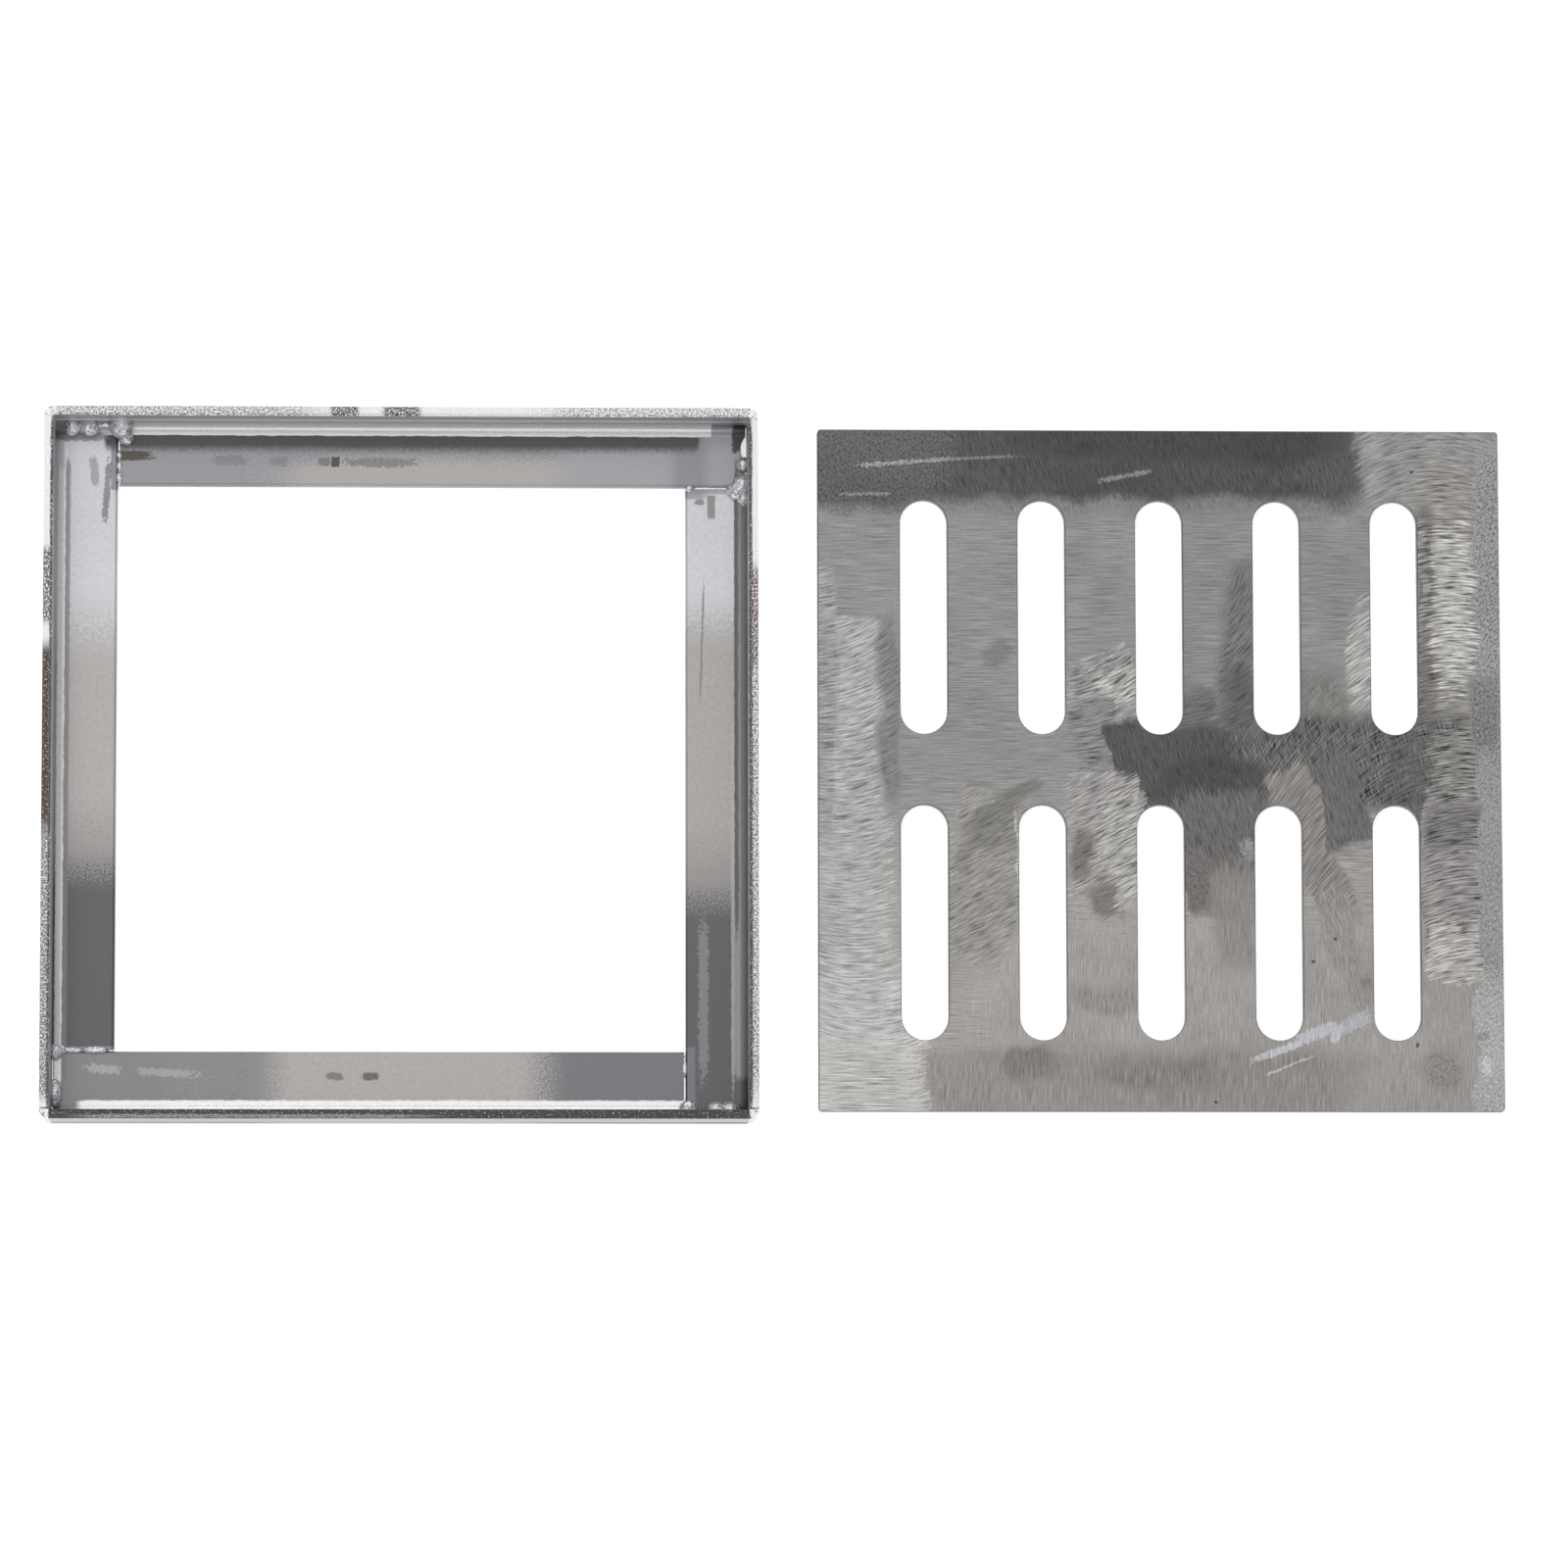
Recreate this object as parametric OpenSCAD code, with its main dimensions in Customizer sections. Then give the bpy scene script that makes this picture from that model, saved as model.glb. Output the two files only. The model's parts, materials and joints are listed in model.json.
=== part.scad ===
// Drain grate: a square frame of four equal angle bars and its loose slotted cover.
// The two lie flat on the ground side by side, the frame with its seat facing up.
// In use the cover drops between the upright legs and rests on the flanges.
// The origin is on the ground, in the middle of the two as they lie.

/* [Frame] */
// Outside width of the square frame
frame_w = 300; // [265:5:420]
// Width of both legs of the equal angle
angle_w = 30; // [26:1:36]
// Thickness of both legs of the equal angle
angle_t = 4; // [3:0.5:5]
// Radius in the root of the angle, between its two legs
root_r = 4.5; // [3:0.5:6]
// Radius on the inner edge of each leg's toe
toe_r = 1.3; // [0.5:0.1:2]
// Slit between the end of a flange and the leg that it meets
fit_gap = 0.5; // [0.2:0.1:0.8]

/* [Hand-cut flange ends] */
// Distance from a bar's outer face to the middle of the scallop in its flange's end
scallop_at = 13.5; // [12:0.5:16]
// Length of the scallop along the flange's end
scallop_len = 11; // [8:0.5:13]
// Depth of the scallop into the flange
scallop_deep = 2; // [1:0.25:3]

/* [Welds] */
// Width of the gap between two flanges that the seam weld fills
seam_gap = 0.8; // [0.6:0.1:1.6]
// How far the seam weld lies below the top of the flanges
seam_sink = 0.4; // [0.2:0.1:0.8]
// How far the top of a corner weld lies below the top of the legs
corner_sink = 0.3; // [0.1:0.1:1]
// Share of a weld lump's radius that lies below the corner it fills
lump_sink = 0.3; // [0.1:0.05:0.5]
// Height above the ground that the lumps of weld reach down to
lump_floor = 0.5; // [0.3:0.1:1]

/* [Cover plate] */
// Slit all round between the cover and the upright legs, when it lies in the frame
cover_gap = 1; // [0.5:0.25:3]
// Thickness of the cover plate
cover_t = 5; // [3:0.5:10]
// Radius of the cover plate's four corners
cover_corner_r = 1.5; // [0.5:0.5:4]
// Edge break ground along the upper edges of the cover and of its slots
edge_break = 0.4; // [0.2:0.1:0.8]

/* [Slots] */
// Width of one slot, whose ends are full round
slot_w = 20; // [10:1:30]
// Length of one slot over its round ends
slot_len = 100; // [60:1:110]
// Distance between the middles of two slots in a row
slot_pitch = 50; // [35:1:55]
// Distance between the middles of the two rows
row_pitch = 130; // [120:1:140]
// Number of slots in a row
slots_in_row = 5; // [1:1:5]
// Number of rows
rows = 2; // [1:1:2]

/* [As laid] */
// Gap between the frame and the cover plate lying beside it
lay_gap = 26; // [5:1:80]

/* [Hidden] */
$fn = 64;

// How far a cutting shape runs past the face that it cuts
cut = 1;

// The legs stop at the inner faces of their neighbours, so each outer corner is open
leg_len = frame_w - 2 * angle_t;
cover_w = leg_len - 2 * cover_gap;
set_w = frame_w + lay_gap + cover_w;
frame_x = (frame_w - set_w) / 2;
cover_x = (set_w - cover_w) / 2;

// Radius of the scallop's arc, from its length and depth
scallop_r = (pow(scallop_len / 2, 2) + pow(scallop_deep, 2)) / (2 * scallop_deep);

// The four corners and the bars that run through there, counted round from the front
FRONT = 0;
RIGHT = 1;
BACK = 2;
LEFT = 3;

// Lumps of weld along the end of the flange that runs through at each corner:
// distance from that bar's outer face, radius, half the straight length
front_left_tacks = [[12.5, 3, 1.8], [angle_w - 0.5, 2.4, 0.6]];
front_right_tacks = [[13.5, 3.2, 2.4], [angle_w - 1, 2.9, 0.8]];
back_right_tacks = [[20.5, 2.2, 0.4], [angle_w + 0.2, 4.6, 0]];
back_left_tacks = [[11.6, 2.6, 0.3], [18, 3, 0.7], [angle_w + 1, 3.6, 0.5]];

// Lumps on the seam between the two flanges at each corner:
// distance from the bar's outer face along the seam, radius, half the straight length
front_left_beads = [[12, 1.1, 4], [22, 1.7, 4]];
front_right_beads = [[23, 1, 2.5]];
back_right_beads = [[28, 1.6, 0]];
back_left_beads = [[17, 1.2, 0.4], [21.5, 1.4, 0.6], [26.5, 1.5, 0.8]];

// Weld that has run up the back leg at the back left corner: how far along the leg,
// its height above the flange, its radius across and how far it stands proud
run_up = [angle_w + 1, 10, 4.6, 0.9];
run_up_r = (pow(run_up[2], 2) + pow(run_up[3], 2)) / (2 * run_up[3]);

// One leg of the angle, standing on the outer corner, with its rounded toe
module toed_leg() {
    square([angle_t, angle_w - toe_r]);
    square([angle_t - toe_r, angle_w]);
    translate([angle_t - toe_r, angle_w - toe_r])
        circle(r = toe_r);
}

// Section of the rolled equal angle, with its outer corner at the origin
module angle_section() {
    toed_leg();
    mirror([1, -1])
        toed_leg();
    translate([angle_t, angle_t])
        difference() {
            square(root_r);
            translate([root_r, root_r])
                circle(r = root_r);
        }
}

// One bar along X, its outer face on y = 0 and its flange towards +Y.
// The flange runs through at the -X end and is notched at the +X end.
module angle_bar() {
    difference() {
        translate([-leg_len / 2, 0, 0])
            rotate([90, 0, 90])
                linear_extrude(leg_len)
                    angle_section();
        translate([frame_w / 2 - angle_w - seam_gap, angle_t, -cut])
            cube([angle_w + seam_gap, angle_w, angle_w]);
        translate([-leg_len / 2 - cut, angle_t, -cut])
            cube([fit_gap + cut, angle_w, angle_w]);
        translate([-leg_len / 2 + fit_gap + scallop_deep - scallop_r, scallop_at, -cut])
            cylinder(r = scallop_r, h = angle_w);
    }
}

// Puts a bar made along X on its side of the frame
module bar(side) {
    translate([frame_x, 0, 0])
        rotate(90 * side)
            translate([0, -frame_w / 2, 0])
                angle_bar();
}

// Puts what is made with the outer corner at the origin in its corner of the frame.
// There the bar along X runs through and the bar along Y is notched.
module corner(side) {
    translate([frame_x, 0, 0])
        rotate(90 * side)
            translate([-frame_w / 2, -frame_w / 2, 0])
                children();
}

// Weld that fills the open outer corner between two legs, ground to a quarter round
module corner_weld() {
    translate([angle_t, angle_t, 0])
        intersection() {
            cylinder(r = angle_t, h = angle_w - corner_sink);
            translate([-angle_t, -angle_t, 0])
                cube([angle_t, angle_t, angle_w]);
        }
}

// Weld in the gap between the flange that runs through and the notched one
module seam_fill() {
    translate([angle_t, angle_w, 0])
        cube([angle_w - angle_t, seam_gap, angle_t - seam_sink]);
}

// A lump of weld that lies along Y with round ends
module lump(r, half) {
    if (half > 0)
        rotate([90, 0, 0])
            cylinder(r = r, h = 2 * half, center = true);
    for (end = [-half, half])
        translate([0, end, 0])
            sphere(r = r);
}

// Weld lumps on the seam at a corner, cut to sit on the two flanges
module seam_weld(side, beads) {
    difference() {
        corner(side) {
            seam_fill();
            intersection() {
                for (bead = beads)
                    translate([bead[0], angle_w + seam_gap / 2, angle_t - seam_sink])
                        rotate(90)
                            lump(bead[1], bead[2]);
                translate([angle_t, 0, angle_t - seam_sink])
                    cube([angle_w - angle_t, 2 * angle_w, angle_w]);
            }
        }
        bar(side);
        bar(side + LEFT);
    }
}

// Weld lumps between the end of a flange and the leg it meets, cut to sit on both
module tack_welds(side, tacks) {
    for (tack = tacks)
        difference() {
            corner(side)
                intersection() {
                    translate([angle_t - lump_sink * tack[1], tack[0], angle_t - lump_sink * tack[1]])
                        lump(tack[1], tack[2]);
                    translate([angle_t, angle_t, lump_floor])
                        cube(2 * angle_w);
                }
            bar(side);
            bar(side + LEFT);
            corner(side)
                seam_fill();
        }
}

// Flat cap of weld that has run up the face of the leg at a corner
module weld_run_up(side) {
    difference() {
        corner(side)
            intersection() {
                translate([angle_t + run_up[3] - run_up_r, run_up[0], angle_t + run_up[1]])
                    rotate([0, 90, 0])
                        sphere(r = run_up_r, $fn = 200);
                translate([angle_t, angle_t, angle_t])
                    cube(2 * angle_w);
            }
        bar(side + LEFT);
    }
}

// Outline of the cover plate with its small corner radius
module cover_outline() {
    inner = cover_w - 2 * cover_corner_r;
    square([cover_w, inner], center = true);
    square([inner, cover_w], center = true);
    for (x = [-inner / 2, inner / 2], y = [-inner / 2, inner / 2])
        translate([x, y])
            circle(r = cover_corner_r);
}

// Outline of one slot, along Y
module slot_outline() {
    straight = slot_len - slot_w;
    square([slot_w, straight], center = true);
    for (y = [-straight / 2, straight / 2])
        translate([0, y])
            circle(d = slot_w);
}

// Cutter for one slot, with the edge break round its upper edge. The taper starts inside the
// slot and ends above the plate, so that it crosses both faces that it meets.
module slot_cutter() {
    straight = slot_len - slot_w;
    translate([0, 0, -cut])
        linear_extrude(cover_t + 2 * cut)
            slot_outline();
    translate([0, 0, cover_t])
        for (y = [-straight / 2, straight / 2])
            translate([0, y, -2 * edge_break])
                cylinder(d1 = slot_w - 2 * edge_break, d2 = slot_w + 4 * edge_break, h = 3 * edge_break);
    translate([0, straight / 2, cover_t])
        rotate([90, 0, 0])
            linear_extrude(straight)
                polygon([
                    [-slot_w / 2 + edge_break, -2 * edge_break], [slot_w / 2 - edge_break, -2 * edge_break],
                    [slot_w / 2 + 2 * edge_break, edge_break], [-slot_w / 2 - 2 * edge_break, edge_break]
                ]);
}

// Places one child at every slot of the cover plate
module at_slots() {
    for (i = [0 : slots_in_row - 1], j = [0 : rows - 1])
        translate([(i - (slots_in_row - 1) / 2) * slot_pitch, (j - (rows - 1) / 2) * row_pitch, 0])
            children();
}

// The slotted cover plate, lying on the ground
module cover_plate() {
    color([0.58, 0.58, 0.57])
        translate([cover_x, 0, 0])
            difference() {
                linear_extrude(cover_t)
                    cover_outline();
                at_slots()
                    slot_cutter();
                for (side = [FRONT : LEFT])
                    rotate(90 * side)
                        translate([0, cover_w / 2, cover_t])
                            rotate([45, 0, 0])
                                cube([cover_w + 2 * cut, edge_break * sqrt(2), edge_break * sqrt(2)],
                                    center = true);
            }
}

module bar_front() {
    color([0.66, 0.66, 0.66])
        bar(FRONT);
}

module bar_right() {
    color([0.70, 0.70, 0.71])
        bar(RIGHT);
}

module bar_back() {
    color([0.60, 0.60, 0.61])
        bar(BACK);
}

module bar_left() {
    color([0.74, 0.74, 0.76])
        bar(LEFT);
}

module corner_weld_at(side) {
    color([0.88, 0.88, 0.90])
        corner(side)
            corner_weld();
}

module seam_weld_at(side, beads) {
    color([0.80, 0.80, 0.82])
        seam_weld(side, beads);
}

module tack_welds_at(side, tacks) {
    color([0.90, 0.90, 0.92])
        tack_welds(side, tacks);
}

module tack_welds_back_left() {
    tack_welds_at(LEFT, back_left_tacks);
    color([0.90, 0.90, 0.92])
        weld_run_up(LEFT);
}

bar_front();
bar_right();
bar_back();
bar_left();
corner_weld_at(FRONT);  // corner_weld_front_left
corner_weld_at(RIGHT);  // corner_weld_front_right
corner_weld_at(BACK);  // corner_weld_back_right
corner_weld_at(LEFT);  // corner_weld_back_left
seam_weld_at(FRONT, front_left_beads);  // seam_weld_front_left
seam_weld_at(RIGHT, front_right_beads);  // seam_weld_front_right
seam_weld_at(BACK, back_right_beads);  // seam_weld_back_right
seam_weld_at(LEFT, back_left_beads);  // seam_weld_back_left
tack_welds_at(FRONT, front_left_tacks);  // tack_welds_front_left
tack_welds_at(RIGHT, front_right_tacks);  // tack_welds_front_right
tack_welds_at(BACK, back_right_tacks);  // tack_welds_back_right
tack_welds_back_left();
cover_plate();
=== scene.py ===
"""Looks of a drain grate: a welded angle frame and, beside it, its slotted cover plate.

The frame is sprayed silver over its rough welds. The cover is bare steel, gone over in short
passes with a flap disc. Sizes in the classes are millimetres, in the frame's own coordinates,
the cover's own coordinates or a corner's own coordinates, as each class says.
"""

import json
import logging
import math
from bisect import bisect_left
from dataclasses import dataclass, field
from enum import Enum
from typing import Optional, Sequence, Union

import bpy
from mathutils import Matrix, Vector

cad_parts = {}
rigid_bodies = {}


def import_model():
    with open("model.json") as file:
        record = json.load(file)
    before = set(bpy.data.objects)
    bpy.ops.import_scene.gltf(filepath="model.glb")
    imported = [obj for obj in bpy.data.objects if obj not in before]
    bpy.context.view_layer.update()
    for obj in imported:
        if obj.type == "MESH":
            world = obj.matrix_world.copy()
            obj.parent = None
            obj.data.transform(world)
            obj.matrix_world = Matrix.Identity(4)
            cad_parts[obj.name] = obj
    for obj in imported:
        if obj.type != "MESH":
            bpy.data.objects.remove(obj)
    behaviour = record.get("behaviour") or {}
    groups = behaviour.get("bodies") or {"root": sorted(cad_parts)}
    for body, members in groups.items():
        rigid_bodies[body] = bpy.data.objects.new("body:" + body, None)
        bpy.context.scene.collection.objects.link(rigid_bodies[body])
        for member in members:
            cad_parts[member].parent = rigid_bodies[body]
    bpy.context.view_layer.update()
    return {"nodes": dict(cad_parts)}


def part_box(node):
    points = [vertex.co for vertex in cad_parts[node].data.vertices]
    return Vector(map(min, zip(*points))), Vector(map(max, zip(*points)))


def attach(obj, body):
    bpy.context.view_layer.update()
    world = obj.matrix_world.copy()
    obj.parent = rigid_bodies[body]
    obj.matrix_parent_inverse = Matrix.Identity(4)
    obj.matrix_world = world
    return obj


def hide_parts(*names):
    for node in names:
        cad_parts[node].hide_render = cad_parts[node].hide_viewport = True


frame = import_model()

LOG = logging.getLogger("drain_grate")
MM = 0.001
BODY = "root"

Point = tuple[float, float]
Colour = tuple[float, float, float, float]
Number = Union[float, bpy.types.NodeSocket]


def display(red: float, green: float, blue: float) -> Colour:
    """Turns a colour as a display shows it into the linear colour that a shader takes.

    Args:
        red: Red from 0 to 255.
        green: Green from 0 to 255.
        blue: Blue from 0 to 255.

    Returns:
        The linear colour with full alpha.
    """
    parts = []
    for value in (red, green, blue):
        share = value / 255
        parts.append(share / 12.92 if share <= 0.04045 else ((share + 0.055) / 1.055) ** 2.4)
    return (parts[0], parts[1], parts[2], 1.0)


class Corner(Enum):
    """The frame's corners, counted round from the front left one."""

    FRONT_LEFT = 0
    FRONT_RIGHT = 1
    BACK_RIGHT = 2
    BACK_LEFT = 3

    @property
    def label(self) -> str:
        """Name of the corner as the nodes have it."""
        return self.name.lower()


class Stroke(Enum):
    """Grain that a surface is left with. The value is a key into GRAINS."""

    BRUSHED = "brushed"
    LEANING = "leaning"
    RISING = "rising"
    LEFT_ARCS = "left arcs"
    RIGHT_ARCS = "right arcs"
    WEDGE_ARCS = "wedge arcs"
    SLOT_ARCS = "slot arcs"
    PLUMB = "plumb"
    MOTTLE = "mottle"
    HATCH = "hatch"
    PEEL = "peel"
    DUST = "dust"


@dataclass(frozen=True)
class Grain:
    """A pattern of scratches: long spots of noise in one direction, bent to a bow where wanted."""

    angle: float = 0.0
    length: float = 10.0
    width: float = 0.5
    centre: Point = (0.0, 0.0)
    bow: float = 0.0
    detail: float = 2.0
    rough: float = 0.6
    flat: bool = True


GRAINS = {
    Stroke.BRUSHED: Grain(angle=0, length=14, width=0.5),
    Stroke.LEANING: Grain(angle=106, length=6, width=0.55),
    Stroke.RISING: Grain(angle=27, length=8, width=0.7),
    Stroke.LEFT_ARCS: Grain(angle=9, length=9, width=0.8, centre=(-132, -10), bow=0.010),
    Stroke.RIGHT_ARCS: Grain(angle=5, length=9, width=0.8, centre=(124, 20), bow=-0.008),
    Stroke.WEDGE_ARCS: Grain(angle=26, length=8, width=0.8, centre=(-20, 35), bow=0.008),
    Stroke.SLOT_ARCS: Grain(angle=38, length=7, width=0.7, centre=(32, 40), bow=0.01),
    Stroke.PLUMB: Grain(angle=88, length=9, width=0.5),
    Stroke.MOTTLE: Grain(angle=60, length=1.4, width=0.8, detail=3, rough=0.7),
    Stroke.PEEL: Grain(angle=0, length=1.7, width=1.7, flat=False, rough=0.6),
    Stroke.DUST: Grain(angle=0, length=0.8, width=0.8, flat=False, detail=3, rough=0.75),
}


@dataclass(frozen=True)
class Patch:
    """One stretch of a surface that differs from what lies round it.

    A patch is a box on the plan, turned about its middle. soft is how far its left, right,
    lower and upper edges fade. teeth is how much the grain breaks up those edges. cover is the
    share of the box that the patch covers, in spots of the grain's form.
    """

    name: str
    at: Point
    size: Point
    tone: Optional[Colour] = None
    turn: float = 0.0
    soft: tuple[float, float, float, float] = (2.0, 2.0, 2.0, 2.0)
    grain: Optional[Stroke] = None
    contrast: float = 1.0
    strength: float = 1.0
    teeth: float = 0.8
    cover: float = 1.0

    def reaches(self, low: Point, high: Point, margin: float) -> bool:
        """Tells whether the patch may show somewhere in a box on the plan.

        Args:
            low: Lower left corner of the box.
            high: Upper right corner of the box.
            margin: How far an uneven edge may stray.

        Returns:
            Whether the patch with its soft edges reaches the box.
        """
        turn = math.radians(self.turn)
        wide = self.size[0] / 2 + max(self.soft[:2]) / 2
        tall = self.size[1] / 2 + max(self.soft[2:]) / 2
        reach = (
            abs(wide * math.cos(turn)) + abs(tall * math.sin(turn)) + margin,
            abs(wide * math.sin(turn)) + abs(tall * math.cos(turn)) + margin,
        )
        return all(
            self.at[axis] + reach[axis] > low[axis] and self.at[axis] - reach[axis] < high[axis]
            for axis in (0, 1)
        )


def near(patches: Sequence[Patch], low: Point, high: Point, margin: float = 7.0) -> list[Patch]:
    """Picks the patches that may show in a box on the plan.

    Args:
        patches: All patches, the lowest first.
        low: Lower left corner of the box.
        high: Upper right corner of the box.
        margin: How far an uneven edge may stray.

    Returns:
        The patches that reach the box, in the same order.
    """
    return [patch for patch in patches if patch.reaches(low, high, margin)]


class NodeLayout:
    """Lays out nodes in one tree, a few at a time."""

    def __init__(self, tree: bpy.types.NodeTree) -> None:
        """Starts on a tree.

        Args:
            tree: The node tree to build in.
        """
        self.tree = tree

    def node(self, kind: str, **settings: object) -> bpy.types.Node:
        """Adds a node and sets its properties.

        Args:
            kind: Type of the node.
            **settings: Properties by name.

        Returns:
            The node.
        """
        made = self.tree.nodes.new(kind)
        for key, value in settings.items():
            setattr(made, key, value)
        return made

    def feed(self, socket: bpy.types.NodeSocket, value: object) -> None:
        """Links a socket to an input, or writes a plain value into it.

        Args:
            socket: The input.
            value: A node's output, or a value.
        """
        if isinstance(value, bpy.types.NodeSocket):
            self.tree.links.new(value, socket)
        else:
            socket.default_value = value

    def math(self, operation: str, *values: Number) -> bpy.types.NodeSocket:
        """Adds a Math node over one to three numbers.

        Args:
            operation: What it works out.
            *values: The numbers, each a node's output or a value.

        Returns:
            The result.
        """
        made = self.node("ShaderNodeMath", operation=operation)
        for socket, value in zip(made.inputs, values):
            self.feed(socket, value)
        return made.outputs[0]

    def fade(self, value: Number, start: float, end: float) -> bpy.types.NodeSocket:
        """Goes smoothly from 0 to 1 as a value passes from one number to another.

        Args:
            value: The value.
            start: Where the result is 0.
            end: Where the result is 1, above start or below it.

        Returns:
            The share from 0 to 1.
        """
        made = self.node("ShaderNodeMapRange", interpolation_type="SMOOTHSTEP")
        self.feed(made.inputs["Value"], value)
        low, high = (start, end) if start < end else (end, start)
        made.inputs["From Min"].default_value = low
        made.inputs["From Max"].default_value = high
        made.inputs["To Min"].default_value = 0.0 if start < end else 1.0
        made.inputs["To Max"].default_value = 1.0 if start < end else 0.0
        return made.outputs["Result"]

    def mix(self, share: Number, first: Number, second: Number) -> bpy.types.NodeSocket:
        """Blends two numbers.

        Args:
            share: How much of the second shows.
            first: The first number.
            second: The second number.

        Returns:
            The blend.
        """
        made = self.node("ShaderNodeMix", data_type="FLOAT")
        self.feed(made.inputs[0], share)
        self.feed(made.inputs[2], first)
        self.feed(made.inputs[3], second)
        return made.outputs[0]

    def tint(self, share: Number, first: object, second: object) -> bpy.types.NodeSocket:
        """Blends two colours.

        Args:
            share: How much of the second shows.
            first: The first colour.
            second: The second colour.

        Returns:
            The blend.
        """
        made = self.node("ShaderNodeMix", data_type="RGBA")
        self.feed(made.inputs[0], share)
        self.feed(made.inputs[6], first)
        self.feed(made.inputs[7], second)
        return made.outputs[2]

    def local(
        self, vector: bpy.types.NodeSocket, at: Point, turn: float, size: Point
    ) -> bpy.types.NodeSocket:
        """Gives coordinates about a point, turned and measured in steps of size.

        Args:
            vector: The coordinates to start from.
            at: Where the new origin lies.
            turn: Angle of the new first axis, in degrees.
            size: Length of one step along each new axis.

        Returns:
            The new coordinates.
        """
        made = self.node("ShaderNodeMapping", vector_type="TEXTURE")
        self.feed(made.inputs["Vector"], vector)
        made.inputs["Location"].default_value = (at[0], at[1], 0)
        made.inputs["Rotation"].default_value = (0, 0, math.radians(turn))
        made.inputs["Scale"].default_value = (size[0], size[1], 1)
        return made.outputs["Vector"]

    def noise(
        self,
        vector: bpy.types.NodeSocket,
        detail: float = 2.0,
        rough: float = 0.5,
        scale: float = 1.0,
        flat: bool = False,
    ) -> bpy.types.Node:
        """Adds a noise texture.

        Args:
            vector: The coordinates that it is read at.
            detail: How many finer layers it has.
            rough: How strong the finer layers are.
            scale: How many spots there are to one step of the coordinates.
            flat: Whether it is read on the plan alone.

        Returns:
            The texture's node.
        """
        made = self.node("ShaderNodeTexNoise", noise_dimensions="2D" if flat else "3D")
        self.feed(made.inputs["Vector"], vector)
        made.inputs["Scale"].default_value = scale
        made.inputs["Detail"].default_value = detail
        made.inputs["Roughness"].default_value = rough
        return made

    def split(self, vector: bpy.types.NodeSocket) -> list[bpy.types.NodeSocket]:
        """Takes a vector apart.

        Args:
            vector: The vector.

        Returns:
            Its three numbers.
        """
        made = self.node("ShaderNodeSeparateXYZ")
        self.feed(made.inputs[0], vector)
        return list(made.outputs)


# A patch's mask: where its edge starts and ends, and how hard the grain bites into it
EDGE_FADE = (0.2, 0.8)
BITE = 4.0
# The grain's spread and the softness of its spots, where a patch covers only a share of its box
GRAIN_SPREAD = 0.36
SPOT_EDGE = 0.07


def patch_mask() -> bpy.types.NodeTree:
    """Builds the node group that tells how much of a patch shows at each place.

    Returns:
        The group, made only once.
    """
    name = "patch_mask"
    if name in bpy.data.node_groups:
        return bpy.data.node_groups[name]
    group = bpy.data.node_groups.new(name, "ShaderNodeTree")
    vectors = ("Vector", "At", "Turn", "Low Start", "Low End", "High Start", "High End")
    for label in vectors:
        group.interface.new_socket(name=label, in_out="INPUT", socket_type="NodeSocketVector")
    for label in ("Grain", "Teeth"):
        group.interface.new_socket(name=label, in_out="INPUT", socket_type="NodeSocketFloat")
    group.interface.new_socket(name="Inside", in_out="OUTPUT", socket_type="NodeSocketFloat")
    make = NodeLayout(group)
    given = make.node("NodeGroupInput").outputs
    local = make.node("ShaderNodeMapping", vector_type="TEXTURE")
    make.feed(local.inputs["Vector"], given["Vector"])
    make.feed(local.inputs["Location"], given["At"])
    make.feed(local.inputs["Rotation"], given["Turn"])
    walls = []
    for start, end, begin in (("Low Start", "Low End", 0.0), ("High Start", "High End", 1.0)):
        wall = make.node("ShaderNodeMapRange", data_type="FLOAT_VECTOR")
        make.feed(wall.inputs["Vector"], local.outputs[0])
        make.feed(wall.inputs[7], given[start])
        make.feed(wall.inputs[8], given[end])
        wall.inputs[9].default_value = (begin,) * 3
        wall.inputs[10].default_value = (1.0 - begin,) * 3
        walls.append(wall.outputs["Vector"])
    both = make.node("ShaderNodeVectorMath", operation="MULTIPLY")
    make.feed(both.inputs[0], walls[0])
    make.feed(both.inputs[1], walls[1])
    across, up, _ = make.split(both.outputs[0])
    inside = make.math("MULTIPLY", across, up)
    edge = make.math("MULTIPLY", make.math("PINGPONG", inside, 0.5), given["Grain"])
    inside = make.math("MULTIPLY_ADD", edge, given["Teeth"], inside)
    inside = make.fade(inside, *EDGE_FADE)
    make.feed(make.node("NodeGroupOutput").inputs["Inside"], inside)
    return group


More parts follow.
